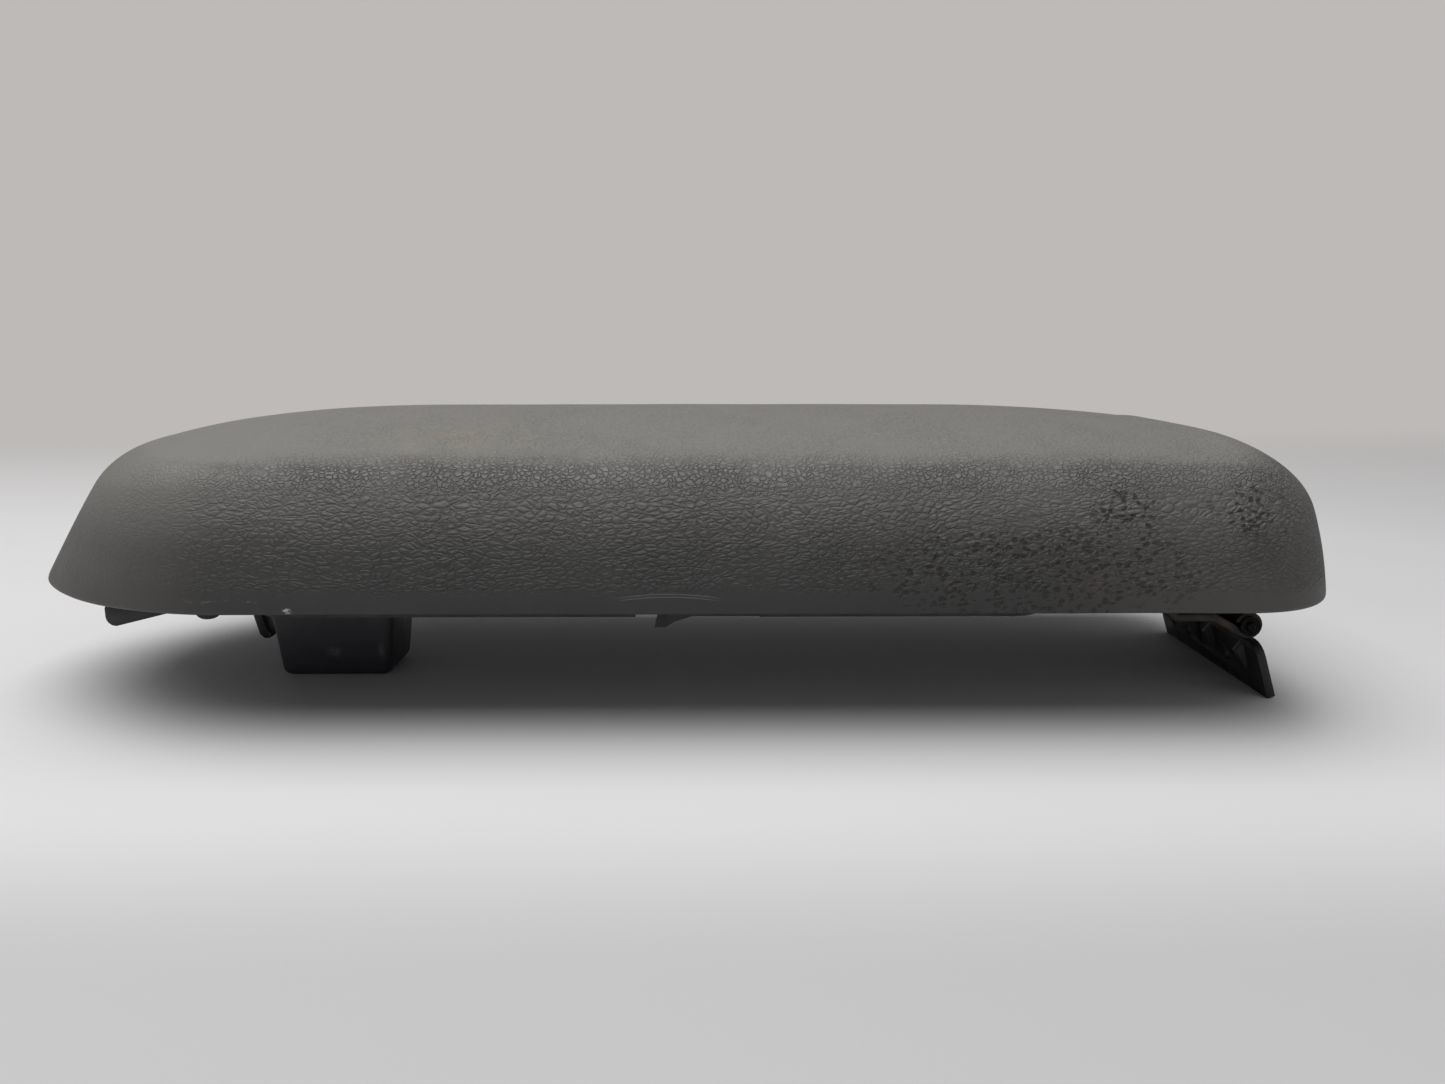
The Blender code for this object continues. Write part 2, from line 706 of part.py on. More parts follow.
def build_bumpers():
    """Rubber bumpers pressed into the panel."""
    rubber = material("bumper_rubber", (0.012, 0.012, 0.012), 0.8)
    base = -SEAT
    profile = [
        (0, PANEL_THICKNESS),
        (BUMPER_STEM, PANEL_THICKNESS),
        (BUMPER_STEM, base),
        (BUMPER_RADIUS, base),
    ]
    depth = BUMPER_DROP - SEAT
    for across, down in arc((0, 0), 1, 0, -90 * DEG, BEND_STEPS)[1:-1]:
        profile.append((BUMPER_RADIUS * across, base + depth * down))
    profile.append((0, base - depth))
    for side, name in ((-1, "near"), (1, "far")):
        turned(f"bumper_{name}", profile, ROUND_SIDES, rubber, (BUMPER_X, side * BUMPER_Y, PANEL_BOTTOM))


# Latch
def ear_outline():
    """An ear of the latch housing seen from the side."""
    root = FLANGE_TOP - FLANGE_THICKNESS / 2
    wide = EAR_RADIUS + 2 * MM
    points = [(LATCH_X - wide, root)]
    points += arc((LATCH_X, LATCH_Z), EAR_RADIUS, 180 * DEG, 180 * DEG, 6)
    return points + [(LATCH_X + wide, root)]


def latch_box(name, gap, low, high, collection):
    """The housing's tapered box, drawn in by the gap, between two heights."""
    bm = bmesh.new()
    for share, height in ((0, high), (1, low)):
        nose = BOX_NOSE_X + gap + BOX_TAPER * share
        tail = BOX_TAIL_X - gap - BOX_TAPER * share
        half = BOX_HALF_WIDTH - gap - BOX_SIDE_TAPER * share
        for x, y in ((nose, -half), (tail, -half), (tail, half), (nose, half)):
            bm.verts.new((x, y, height))
    bmesh.ops.convex_hull(bm, input=bm.verts)
    bmesh.ops.dissolve_limit(bm, angle_limit=1 * DEG, verts=bm.verts, edges=bm.edges)
    return mesh_object(name, bm, collection)


def build_latch_housing():
    """The flange, box and ears, moulded as one. The box is open at its top, inside the lid."""
    item = latch_box("latch_housing", 0, 0, FLANGE_TOP - FLANGE_THICKNESS / 2, PARTS)
    bevel(item, BOX_ROUND, 3)
    flange = box(
        "housing_flange",
        (FLANGE_NOSE_X, -FLANGE_HALF_WIDTH, FLANGE_BOTTOM),
        (FLANGE_TAIL_X, FLANGE_HALF_WIDTH, FLANGE_TOP),
    )
    inner = LEVER_HALF_WIDTH + SEAT
    ears = []
    for side, name in ((-1, "near"), (1, "far")):
        low, high = sorted((side * inner, side * (inner + EAR_THICKNESS)))
        ears.append(helper(flat_solid(name + "_ear", ear_outline(), low, high, CONSTRUCTION, upright=True)))
    hollow = helper(latch_box("housing_hollow", BOX_WALL, BOX_WALL, FLANGE_TOP + MM, CONSTRUCTION))
    join(item, flange, *ears)
    cut(item, hollow)
    cut(item, cross_rod("latch_pin_hole", PIN_HOLE, LATCH_X, LATCH_Z, 2 * LEVER_HALF_WIDTH))
    places = both_sides(HOUSING_SCREWS)
    low, high = FLANGE_BOTTOM - MM, FLANGE_TOP + MM
    cut(item, rods("flange_holes", places, SCREW_RADIUS + SEAT, low, high))
    finish(item, material("housing_plastic", (0.011, 0.012, 0.015), 0.5))


def axis_empty(name, place, lean=0.0):
    """An empty on a joint's axis, which carries the pieces that turn about it."""
    empty = bpy.data.objects.new(name, None)
    empty.empty_display_size = 10 * MM
    empty.location = place
    empty.rotation_euler = (0, lean, 0)
    PARTS.objects.link(empty)
    return empty


def hang(axis, *items):
    """Parents a moving piece, and the helpers that shape it, to its axis."""
    for item in items:
        item.parent = axis


def lever_outline():
    """The lever's paddle seen from the side, about the latch pin: it falls towards the nose and turns
    up into a lip."""
    tip = -LEVER_REACH
    knee = tip + LEVER_THICKNESS
    lip_top = LEVER_LIP - LEVER_FALL
    chamfer = LEVER_THICKNESS / 3
    low_round = arc((knee, LEVER_THICKNESS - LEVER_FALL), LEVER_THICKNESS, 270 * DEG, -90 * DEG, BEND_STEPS)
    lip = [(tip, lip_top - chamfer), (tip + chamfer, lip_top), (knee - chamfer / 2, lip_top)]
    back = [(knee + chamfer, lip_top - LEVER_HOLLOW), (-chamfer, chamfer)]
    return [(0, -LEVER_ROOT)] + low_round + lip + back


def lever_notch(name, low, high):
    """A helper that frees the pin on one side of the hub, between two distances along Y."""
    reach = LEVER_HUB_RADIUS + NOTCH_ROOM
    return box(name, (-reach, low, -reach), (LEVER_HUB_RADIUS, high, LEVER_HUB_RADIUS))


def build_latch_lever(axis, made):
    """The lever: a finger paddle, a hub on the pin and a short arm that carries the hook."""
    wide = LEVER_HALF_WIDTH
    item = flat_solid("latch_lever", lever_outline(), -wide, wide, PARTS, upright=True)
    bm = bmesh.new()
    add_rod(bm, LEVER_HUB_RADIUS, (0, -LEVER_HUB_HALF, 0), (0, LEVER_HUB_HALF, 0), FINE_SIDES)
    hub = helper(mesh_object("lever_hub", bm, CONSTRUCTION))
    arm = box("lever_arm", (0, -ARM_HALF_WIDTH, -ARM_LOW), (ARM_REACH, ARM_HALF_WIDTH, ARM_HIGH))
    hole = RIVET_RADIUS + SEAT
    socket = box(
        "rivet_socket",
        (ARM_REACH - RIVET_BITE - SEAT, -hole, -RIVET_DROP - hole),
        (ARM_REACH + MM, hole, hole - RIVET_DROP),
    )
    near = lever_notch("near_notch", -wide - MM, -LEVER_HUB_HALF)
    far = lever_notch("far_notch", LEVER_HUB_HALF, wide + MM)
    bore = cross_rod("lever_bore", PIN_HOLE, 0, 0, 2 * wide)
    cut(item, near, far)
    join(item, hub, arm)
    cut(item, bore, socket)
    hang(axis, item, hub, arm, socket, near, far, bore)
    finish(item, made)


def hook_outline():
    """The hook seen from the side, about the latch pin: a leaning strip with a barb towards the box."""
    front = ARM_REACH + SEAT
    lean = math.tan(HOOK_SLANT) * (HOOK_TOP + HOOK_DROP)
    back = front + HOOK_THICKNESS
    low = -HOOK_DROP
    return [
        (front, HOOK_TOP),
        (front, -HOOK_BEND),
        (front + lean, low + HOOK_THICKNESS / 2),
        (front + lean + HOOK_THICKNESS / 2, low),
        (back + lean + HOOK_BARB * 0.4, low),
        (back + lean + HOOK_BARB, low + HOOK_BARB),
        (back + lean, low + 2 * HOOK_BARB),
        (back, -HOOK_BEND),
        (back, HOOK_TOP),
    ]


def build_latch_hook(axis, made, steel):
    """The hook, and the rivet that holds it on the lever's arm."""
    item = flat_solid(
        "latch_hook", hook_outline(), -HOOK_HALF_WIDTH, HOOK_HALF_WIDTH, PARTS, upright=True
    )
    bm = bmesh.new()
    ends = (ARM_REACH - MM, ARM_REACH + HOOK_THICKNESS + 2 * MM)
    add_rod(bm, RIVET_RADIUS + SEAT, (ends[0], 0, -RIVET_DROP), (ends[1], 0, -RIVET_DROP))
    hole = helper(mesh_object("hook_hole", bm, CONSTRUCTION))
    cut(item, hole)
    hang(axis, item, hole)
    finish(item, made)
    shank = HOOK_THICKNESS + 2 * SEAT + RIVET_BITE
    profile = [
        (0, RIVET_HEAD / 2),
        (RIVET_HEAD * 0.8, RIVET_HEAD / 2),
        (RIVET_HEAD, RIVET_HEAD / 4),
        (RIVET_HEAD, 0),
        (RIVET_RADIUS, 0),
        (RIVET_RADIUS, -shank),
        (0, -shank),
    ]
    place = (ARM_REACH + HOOK_THICKNESS + 2 * SEAT, 0, -RIVET_DROP)
    rivet = turned("hook_rivet", profile, 8, steel, place)
    rivet.rotation_euler = (0, 90 * DEG, 0)
    hang(axis, rivet)


def coil_points(radius, low, high, turns, steps, start):
    """Points of a coil round the Y axis, as (x, y, z)."""
    points = []
    count = turns * steps
    for step in range(count + 1):
        angle = start + 2 * math.pi * step / steps
        along = low + (high - low) * step / count
        points.append((radius * math.cos(angle), along, radius * math.sin(angle)))
    return points


def build_latch_spring(made):
    """The torsion spring on the latch pin, with one leg under the flange and one on the paddle."""
    radius = LATCH_PIN_RADIUS + SEAT + 2 * SPRING_WIRE
    far = -LEVER_HUB_HALF - SEAT - SPRING_WIRE
    near = -LEVER_HALF_WIDTH + SPRING_WIRE + SEAT
    points = coil_points(radius, near, far, SPRING_TURNS, 8, 90 * DEG)
    flange_leg = (radius + FLANGE_LEG, near, radius)
    paddle_leg = (-LEVER_HUB_RADIUS - PADDLE_LEG, far - SPRING_WIRE, radius)
    route = [flange_leg] + points + [paddle_leg]
    curve = bpy.data.curves.new("latch_spring", "CURVE")
    curve.dimensions = "3D"
    curve.bevel_depth = SPRING_WIRE
    curve.bevel_resolution = 1
    curve.use_fill_caps = True
    spline = curve.splines.new("POLY")
    spline.points.add(len(route) - 1)
    for point, place in zip(spline.points, route):
        point.co = (*place, 1)
    curve.materials.append(made)
    item = bpy.data.objects.new("latch_spring", curve)
    item.location = (LATCH_X, 0, LATCH_Z)
    PARTS.objects.link(item)


def pin_profile(radius, length, head_radius, head):
    """A headed pin, turned about Z with its head at the top."""
    chamfer = radius / 3
    return [
        (0, head),
        (head_radius * 0.8, head),
        (head_radius, head * 0.6),
        (head_radius, 0),
        (radius, 0),
        (radius, -length + chamfer),
        (radius - chamfer, -length),
        (0, -length),
    ]


def build_latch():
    steel = material("pin_steel", (0.3, 0.3, 0.31), 0.3, 1.0)
    span = LEVER_HALF_WIDTH + SEAT + EAR_THICKNESS + SEAT
    profile = pin_profile(LATCH_PIN_RADIUS, 2 * span + MM, 2 * LATCH_PIN_RADIUS, MM)
    pin = turned("latch_pin", profile, ROUND_SIDES, steel, (LATCH_X, -span, LATCH_Z))
    pin.rotation_euler = (90 * DEG, 0, 0)
    axis = axis_empty("latch_axis", (LATCH_X, 0, LATCH_Z))
    build_latch_lever(axis, material("lever_plastic", (0.009, 0.009, 0.0095), 0.5))
    build_latch_hook(axis, material("hook_plastic", (0.003, 0.003, 0.003), 0.45), steel)
    build_latch_spring(material("spring_steel", (0.25, 0.25, 0.26), 0.3, 1.0))


# Hinge
def ribbon(path, thickness):
    """The outline of a strip of even thickness along an open path."""
    left, right = [], []
    for index, point in enumerate(path):
        before = path[max(index - 1, 0)]
        after = path[min(index + 1, len(path) - 1)]
        into = (Vector(point) - Vector(before)).normalized() if index else None
        onward = (Vector(after) - Vector(point)).normalized() if index < len(path) - 1 else None
        into = into or onward
        onward = onward or into
        mean = (into + onward).normalized()
        width = thickness / 2 / max(mean.dot(onward), 0.3)
        across = Vector((-mean.y, mean.x)) * width
        left.append(tuple(Vector(point) + across))
        right.append(tuple(Vector(point) - across))
    return left + right[::-1]


def leaf_path():
    """The middle of the leaf's strap seen from the side: flat under the panel, joggled down, flat again,
    then falling to run under the pin and roll up round it."""
    high = (LEAF_TOP + LEAF_BOTTOM) / 2
    low = HINGE_Z + LEAF_STEP_RISE
    radius = HINGE_EYE_RADIUS - LEAF_THICKNESS / 2
    bend = Vector((LEAF_BEND_X, low))
    centre = Vector((HINGE_X, HINGE_Z))
    away = centre - bend
    fall = math.atan2(away.y, away.x) - math.asin(radius / away.length)
    start = fall - 90 * DEG
    path = [(LEAF_NOSE_X, high), (LEAF_JOGGLE_X, high), (LEAF_STEP_X, low), tuple(bend)]
    return path + arc(centre, radius, start, EYE_SWEEP, 14)


def build_hinge_leaf():
    """The lid's half of the hinge."""
    wide = LEAF_HALF_WIDTH
    item = flat_solid("hinge_leaf", ribbon(leaf_path(), LEAF_THICKNESS), -wide, wide, PARTS, upright=True)
    inner = wide - EYE_OUTER_WIDTH
    front = HINGE_X - HINGE_EYE_RADIUS - EYE_ROOM
    back = HINGE_X + HINGE_EYE_RADIUS + MM
    low, high = HINGE_Z - 2 * HINGE_EYE_RADIUS, HINGE_Z + 2 * HINGE_EYE_RADIUS
    for side, name in ((-1, "near"), (1, "far")):
        ends = sorted((side * EYE_MIDDLE_HALF, side * inner))
        cut(item, box(name + "_knuckle_gap", (front, ends[0], low), (back, ends[1], high)))
    places = both_sides(LEAF_SCREWS)
    holes = rods("leaf_holes", places, SCREW_RADIUS + SEAT, LEAF_BOTTOM - MM, LEAF_TOP + MM)
    cut(item, holes)
    finish(item, material("leaf_steel", (0.06, 0.055, 0.052), 0.45, 0.9))


def bracket_plate_outline(low):
    """The bracket's plate seen square on, its two top corners rounded: (across, height)."""
    wide = BRACKET_HALF_WIDTH
    top = -HINGE_EYE_RADIUS - BRACKET_TOP_GAP
    corner = BRACKET_CORNER
    points = [(-wide, low), (wide, low)]
    points += arc((wide - corner, top - corner), corner, 0, 90 * DEG, 4)
    points += arc((corner - wide, top - corner), corner, 90 * DEG, 90 * DEG, 4)
    return points


def build_hinge_bracket(axis):
    """The console's half of the hinge: a plate with two knuckles on the pin and four gussets."""
    reach = (HINGE_Z - math.sin(BRACKET_LEAN) * BRACKET_THICKNESS / 2) / math.cos(BRACKET_LEAN)
    half = BRACKET_THICKNESS / 2
    item = flat_solid("hinge_bracket", bracket_plate_outline(-reach), -half, half, PARTS, upright=True)
    item.data.transform(Matrix.Rotation(90 * DEG, 4, "Z"))
    knuckles = []
    low, high = EYE_MIDDLE_HALF + SEAT, LEAF_HALF_WIDTH - EYE_OUTER_WIDTH - SEAT
    for side, name in ((-1, "near"), (1, "far")):
        ends = sorted((side * low, side * high))
        bm = bmesh.new()
        add_rod(bm, HINGE_EYE_RADIUS, (0, ends[0], 0), (0, ends[1], 0), FINE_SIDES)
        knuckles.append(helper(mesh_object(name + "_knuckle", bm, CONSTRUCTION)))
        foot = HINGE_EYE_RADIUS + BRACKET_TOP_GAP + BRACKET_CORNER
        neck = half - KNUCKLE_STEP
        knuckles.append(box(name + "_knuckle_neck", (-neck, ends[0], -foot), (neck, ends[1], 0)))
    gussets = []
    top = -HINGE_EYE_RADIUS - 2 * BRACKET_TOP_GAP
    outline = [(0, top), (-half - GUSSET_DEPTH, top - GUSSET_DEPTH), (0, GUSSET_LIFT - reach)]
    for place in GUSSET_PLACES:
        for side, name in ((-1, "near"), (1, "far")):
            low = side * place - GUSSET_THICKNESS / 2
            label = f"{name}_gusset_{round(place / MM)}"
            gusset = flat_solid(label, outline, low, low + GUSSET_THICKNESS, CONSTRUCTION, upright=True)
            gussets.append(helper(gusset))
    bm = bmesh.new()
    for side in (-1, 1):
        place = (side * BRACKET_HOLE_Y, -BRACKET_HOLE_DROP)
        add_rod(bm, BRACKET_HOLE_RADIUS, (-4 * half, *place), (4 * half, *place))
    holes = helper(mesh_object("bracket_holes", bm, CONSTRUCTION))
    join(item, *knuckles, *gussets)
    bore = cross_rod("bracket_bore", HINGE_HOLE, 0, 0, LEAF_HALF_WIDTH)
    cut(item, bore, holes)
    hang(axis, item, *knuckles, *gussets, bore, holes)
    finish(item, material("bracket_plastic", (0.007, 0.007, 0.0075), 0.5))


def build_hinge_pin(steel):
    """The hinge pin, and the two clips on its ends."""
    span = LEAF_HALF_WIDTH + SEAT + CIRCLIP_THICKNESS + PIN_END
    chamfer = HINGE_PIN_RADIUS / 4
    profile = [
        (0, span),
        (HINGE_PIN_RADIUS - chamfer, span),
        (HINGE_PIN_RADIUS, span - chamfer),
        (HINGE_PIN_RADIUS, chamfer - span),
        (HINGE_PIN_RADIUS - chamfer, -span),
        (0, -span),
    ]
    pin = turned("hinge_pin", profile, ROUND_SIDES, steel, (HINGE_X, 0, HINGE_Z))
    pin.rotation_euler = (90 * DEG, 0, 0)
    inner = HINGE_PIN_RADIUS + SEAT / 2
    ring_profile = [
        (inner, CIRCLIP_THICKNESS),
        (CIRCLIP_RADIUS, CIRCLIP_THICKNESS),
        (CIRCLIP_RADIUS, 0),
        (inner, 0),
        (inner, CIRCLIP_THICKNESS),
    ]
    for side, name in ((-1, "near"), (1, "far")):
        low = side * (LEAF_HALF_WIDTH + SEAT) if side < 0 else LEAF_HALF_WIDTH + SEAT + CIRCLIP_THICKNESS
        clip = turned(f"pin_clip_{name}", ring_profile, ROUND_SIDES, steel, (HINGE_X, low, HINGE_Z))
        clip.rotation_euler = (90 * DEG, 0, 0)


def build_hinge():
    build_hinge_leaf()
    build_hinge_pin(material("hinge_pin_steel", (0.28, 0.27, 0.26), 0.35, 1.0))
    build_hinge_bracket(axis_empty("hinge_axis", (HINGE_X, 0, HINGE_Z), -BRACKET_LEAN))


PAD_WALLS = (
    (SIDE_LEAN, SIDE_BOW, SIDE_ROUND, SIDE_SLOPE, SIDE_HEIGHT),
    (NOSE_LEAN, NOSE_BOW, NOSE_ROUND, NOSE_SLOPE, NOSE_HEIGHT),
    (TAIL_LEAN, TAIL_BOW, TAIL_ROUND, TAIL_SLOPE, TAIL_HEIGHT),
)

clear_scene()
PARTS = new_collection("console_armrest_lid")
CONSTRUCTION = new_collection("construction")

build_cover_skin()
build_foam_pad()
build_upper_carrier()
build_inner_panel()
build_screws()
build_bumpers()
build_latch_housing()
build_latch()
build_hinge()
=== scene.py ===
import json
import math

import bpy
from bpy.props import FloatProperty, FloatVectorProperty, PointerProperty
from bpy.types import Operator, Panel, PropertyGroup
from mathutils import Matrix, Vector, noise


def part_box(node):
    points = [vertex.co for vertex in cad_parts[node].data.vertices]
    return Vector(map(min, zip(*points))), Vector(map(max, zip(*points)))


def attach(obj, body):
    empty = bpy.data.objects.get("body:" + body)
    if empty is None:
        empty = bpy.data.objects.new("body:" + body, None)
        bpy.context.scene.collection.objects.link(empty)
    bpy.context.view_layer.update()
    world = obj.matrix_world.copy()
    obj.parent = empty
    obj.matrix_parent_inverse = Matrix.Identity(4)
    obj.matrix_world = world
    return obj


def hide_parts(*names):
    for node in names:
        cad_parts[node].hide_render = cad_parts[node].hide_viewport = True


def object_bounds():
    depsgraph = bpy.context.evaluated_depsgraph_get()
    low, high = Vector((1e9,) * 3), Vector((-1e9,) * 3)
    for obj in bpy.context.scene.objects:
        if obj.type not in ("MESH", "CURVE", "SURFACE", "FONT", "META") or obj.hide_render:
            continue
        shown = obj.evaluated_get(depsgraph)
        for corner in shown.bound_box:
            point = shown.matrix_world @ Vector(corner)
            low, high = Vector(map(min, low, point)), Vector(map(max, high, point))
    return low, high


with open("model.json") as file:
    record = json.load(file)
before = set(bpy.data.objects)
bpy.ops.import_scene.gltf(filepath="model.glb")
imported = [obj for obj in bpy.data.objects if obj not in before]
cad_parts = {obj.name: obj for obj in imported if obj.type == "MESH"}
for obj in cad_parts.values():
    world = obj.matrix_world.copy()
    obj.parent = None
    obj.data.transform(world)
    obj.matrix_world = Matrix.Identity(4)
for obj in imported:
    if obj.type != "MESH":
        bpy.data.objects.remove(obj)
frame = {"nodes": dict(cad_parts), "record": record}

bl_info = {
    "name": "Console Armrest Lid",
    "version": (1, 0, 0),
    "blender": (4, 5, 0),
    "location": "View3D > Sidebar > Armrest",
    "description": "Dresses a padded armrest lid with its grained skin, latch and hinge",
    "category": "Object",
}

MM = 0.001
DEG = math.pi / 180
CAD_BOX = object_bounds()
PAD_LOW, PAD_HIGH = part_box("cover_skin")

# Each wall of the pad: lean below its top rounding, that rounding, slope of the top there, height, bow
SIDE_WALL = (22 * DEG, 11 * MM, 15 * DEG, 37.8 * MM, 7.6 * MM)
NOSE_WALL = (33.6 * DEG, 28.6 * MM, 14.2 * DEG, 39.3 * MM, 0.0)
TAIL_WALL = (15.2 * DEG, 34 * MM, 10 * DEG, 43.2 * MM, 0.0)

# Rounding of the nose and of the tail's corners seen from above, and the middle line's fall to each end
NOSE_REACH = 76 * MM
NOSE_POWER = 1.8
TAIL_CORNER = 37 * MM
TAIL_CORNER_WIDTH = 50 * MM
TAIL_POWER = 2.4
CROWN_HEIGHT = 48.2 * MM
NOSE_FALL = 104 * MM
NOSE_FALL_POWER = 3.2
TAIL_FALL = 78 * MM
TAIL_FALL_POWER = 2.2
FOOT_ROUND = 1.5 * MM
SKIN_LIP = 12 * MM

# Room between the foam and the skin, room over the skin's lip, and the skin's slight unevenness
FOAM_ROOM = 0.5 * MM
LIP_ROOM = 0.3 * MM
UNEVEN_SPREAD = 24 * MM
UNEVEN_HEIGHT = 0.12 * MM

# Heights in millimetres between which the skin changes
BREAK_STARTS = (61.0, 69.0)
BREAK_ENDS = (78.0, 71.0)
TOP_STARTS = (70.0, 76.0)
HEM_ENDS = (37.5, 42.5)
GRAIN_DEEPENS = (40.0, 60.0)
# Heights of the painted shade that darkens the wall towards its lower edge
WALL_SHADE_STARTS = (69.0, 47.0)
WALL_SHADE_THICKENS = (47.0, 34.0)

# Marks on the skin, each with its middle and reach in millimetres, and the share of its reach that is full
SOILED = (
    ((96, -72, 45), (62, 34, 17), 0.45),
    ((118, -70, 56), (14, 30, 20), 0.3),
    ((150, -60, 60), (16, 30, 12), 0.3),
)
BROWN = ((118, -70, 44), (34, 30, 12), 0.2)
SMEAR = ((152, -60, 51), (10, 22, 9), 0.2)
STAIN = ((-54, -44, 78), (30, 22, 14), 0.1)
CHIP = ((-92.5, -71, 35.6), (1.6, 3, 1.2), 0.5)
SCUFFS = ((-108, -68, 38.5), (15, 12, 1.6), 0.3)
SCRATCH = ((3.4, -70, 39.2), (15, 6, 3), 0.6)

# The double scratch in millimetres: its middle, its bow for a length squared, and half its width
SCRATCH_X = 3.4
SCRATCH_Z = 39.6
SCRATCH_BOW = 0.0062
SCRATCH_SPREAD = 0.36

# Painted highlights on the near side of the latch housing, with their middles and reaches in millimetres, and
# their colour
HOUSING_HIGHLIGHTS = (((-102.0, -26, 8.0), (3.4, 30, 2.6)), ((-87.6, -26, 8.0), (1.8, 30, 4.2)))
HIGHLIGHT_COLOUR = (0.12, 0.12, 0.125)

# Heads, shanks and rings of the screws, and the bar that cuts one arm of the cross recess
SCREW_HEAD = 2.1 * MM
SCREW_SHANK = 1.6 * MM
SCREW_CORE = 0.78 * SCREW_SHANK
SCREW_PITCH = 0.9 * MM
RECESS = (0.6 * MM, 3.4 * MM, 2.4 * MM)

# The studio: its floor, the backdrop that rises behind it, and its lamp, in metres
FLOOR_SIZE = 8
FLOOR_Y = -1.6
BACKDROP_HEIGHT = 5
BACKDROP_ROUND = 1.4
BACKDROP_STEPS = 24
LAMP_SIZE = 1.7
LAMP_PLACE = (-0.35, -0.3, 1.3)
SKY_COLOUR = (0.98, 0.99, 1.0, 1)

# Where the floor darkens towards the camera, and where it gives way to the backdrop, in millimetres
NEAR_SHADE = (-105.0, -175.0)
FAR_GLOW = (250.0, 900.0)

# Points along the pad's outline and up its walls
NOSE_STEPS = 44
SIDE_STEPS = 26
CORNER_STEPS = 22
TAIL_STEPS = 10
LIP_STEPS = 3
FOOT_STEPS = 4
WALL_STEPS = 8
ROUND_STEPS = 10
TOP_STEPS = 20


def colour_property(name, text, value):
    """A linear colour that a user may change."""
    return FloatVectorProperty(
        name=name, description=text, default=value, subtype="COLOR", size=3, min=0, max=1
    )


def length_property(name, text, value):
    """A length in metres that a user may change."""
    return FloatProperty(
        name=name, description=text, default=value, min=0, unit="LENGTH", subtype="DISTANCE", precision=4
    )


class SkinSettings(PropertyGroup):
    """Sizes and colours of the grained skin."""

    colour: colour_property("Skin", "Colour of the clean skin", (0.118, 0.113, 0.105))
    crease: colour_property("Crease", "Colour down in the grain's creases", (0.035, 0.034, 0.033))
    # Paler top and nose tip: partly wear, partly painted sheen where the skin faces up
    wear_and_sheen: colour_property("Wear_and_sheen", "Colour of the worn, dusty top", (0.163, 0.155, 0.142))
    wall_shade: colour_property("Shade", "Colour of the shadowed lower edge", (0.014, 0.0135, 0.0135))
    # Painted shade: the colour that darkens the wall towards its lower edge
    dirt: colour_property("Dirt", "Colour of the dirt rubbed into the grain", (0.017, 0.014, 0.012))
    tint: colour_property("Tint", "Colour of the brown tint towards the tail", (0.06, 0.042, 0.03))
    stain: colour_property("Stain", "Colour of the faded stain on the top", (0.23, 0.2, 0.115))
    scuff: colour_property("Scuff", "Colour of the scuffs and of the scratch", (0.42, 0.41, 0.4))
    thickness: length_property("Thickness", "Thickness of the moulded skin", 1.2 * MM)
    grain: length_property("Grain", "Width of one cell of the grain", 1.5 * MM)
    relief: length_property("Relief", "Height of the grain", 0.36 * MM)
    foam: colour_property("Foam", "Colour of the moulded foam", (0.45, 0.4, 0.28))
    foam_wall: length_property("Foam wall", "Thickness of the foam on the walls", 5 * MM)


class HardwareSettings(PropertyGroup):
    """Colours of the mouldings, the steel and the rubber."""

    carrier: colour_property("Carrier", "Colour of the carrier in the pad", (0.02, 0.02, 0.022))
    panel: colour_property("Panel", "Colour of the inner panel", (0.008, 0.008, 0.009))
    housing: colour_property("Housing", "Colour of the latch housing", (0.02, 0.02, 0.026))
    lever: colour_property("Lever", "Colour of the latch lever", (0.012, 0.012, 0.013))
    hook: colour_property("Hook", "Colour of the latch hook", (0.002, 0.002, 0.0022))
    bracket: colour_property("Bracket", "Colour of the hinge bracket", (0.009, 0.009, 0.0095))
    leaf: colour_property("Leaf", "Colour of the coated hinge leaf", (0.03, 0.026, 0.024))
    steel: colour_property("Steel", "Colour of the bright pins", (0.42, 0.41, 0.4))
    pin: colour_property("Hinge pin", "Colour of the blackened hinge pin and clips", (0.012, 0.012, 0.012))
    screw: colour_property("Screw", "Colour of the plated screws", (0.06, 0.058, 0.06))
    rubber: colour_property("Rubber", "Colour of the bumpers", (0.012, 0.012, 0.012))


class StageSettings(PropertyGroup):
    """The camera, the lamp and the floor."""

    floor: colour_property("Floor", "Colour of the floor", (0.62, 0.61, 0.61))
    backdrop: colour_property("Backdrop", "Colour of the backdrop", (0.51, 0.49, 0.48))
    lens: FloatProperty(
        name="Lens", description="Focal length on a 36 mm sensor", default=27.06, min=1, unit="CAMERA"
    )
    pitch: FloatProperty(
        name="Pitch", description="How far the camera looks down", default=10.95 * DEG, subtype="ANGLE"
    )
    turn: FloatProperty(
        name="Turn", description="How far the camera turns to the tail", default=0.48 * DEG, subtype="ANGLE"
    )
    place: FloatVectorProperty(
        name="Camera", description="Where the camera stands", subtype="TRANSLATION",
        default=(14.8 * MM, -335.3 * MM, 104.6 * MM), size=3, unit="LENGTH"
    )
    key: FloatProperty(name="Key", description="Power of the lamp overhead", default=26, min=0, unit="POWER")
    sky: FloatProperty(name="Sky", description="Brightness of the surroundings", default=0.34, min=0)


def deselect():
    """Nothing selected and nothing active."""
    if bpy.context.mode != "OBJECT":
        bpy.ops.object.mode_set(mode="OBJECT")
    bpy.ops.object.select_all(action="DESELECT")


def only(item):
    """This object alone is selected and active."""
    deselect()
    item.select_set(True)
    bpy.context.view_layer.objects.active = item
    return item


def edit(item, mode="VERT"):
    """Edit mode on this object, with nothing selected."""
    only(item)
    bpy.ops.object.mode_set(mode="EDIT")
    bpy.ops.mesh.select_mode(type=mode)
    bpy.ops.mesh.select_all(action="DESELECT")


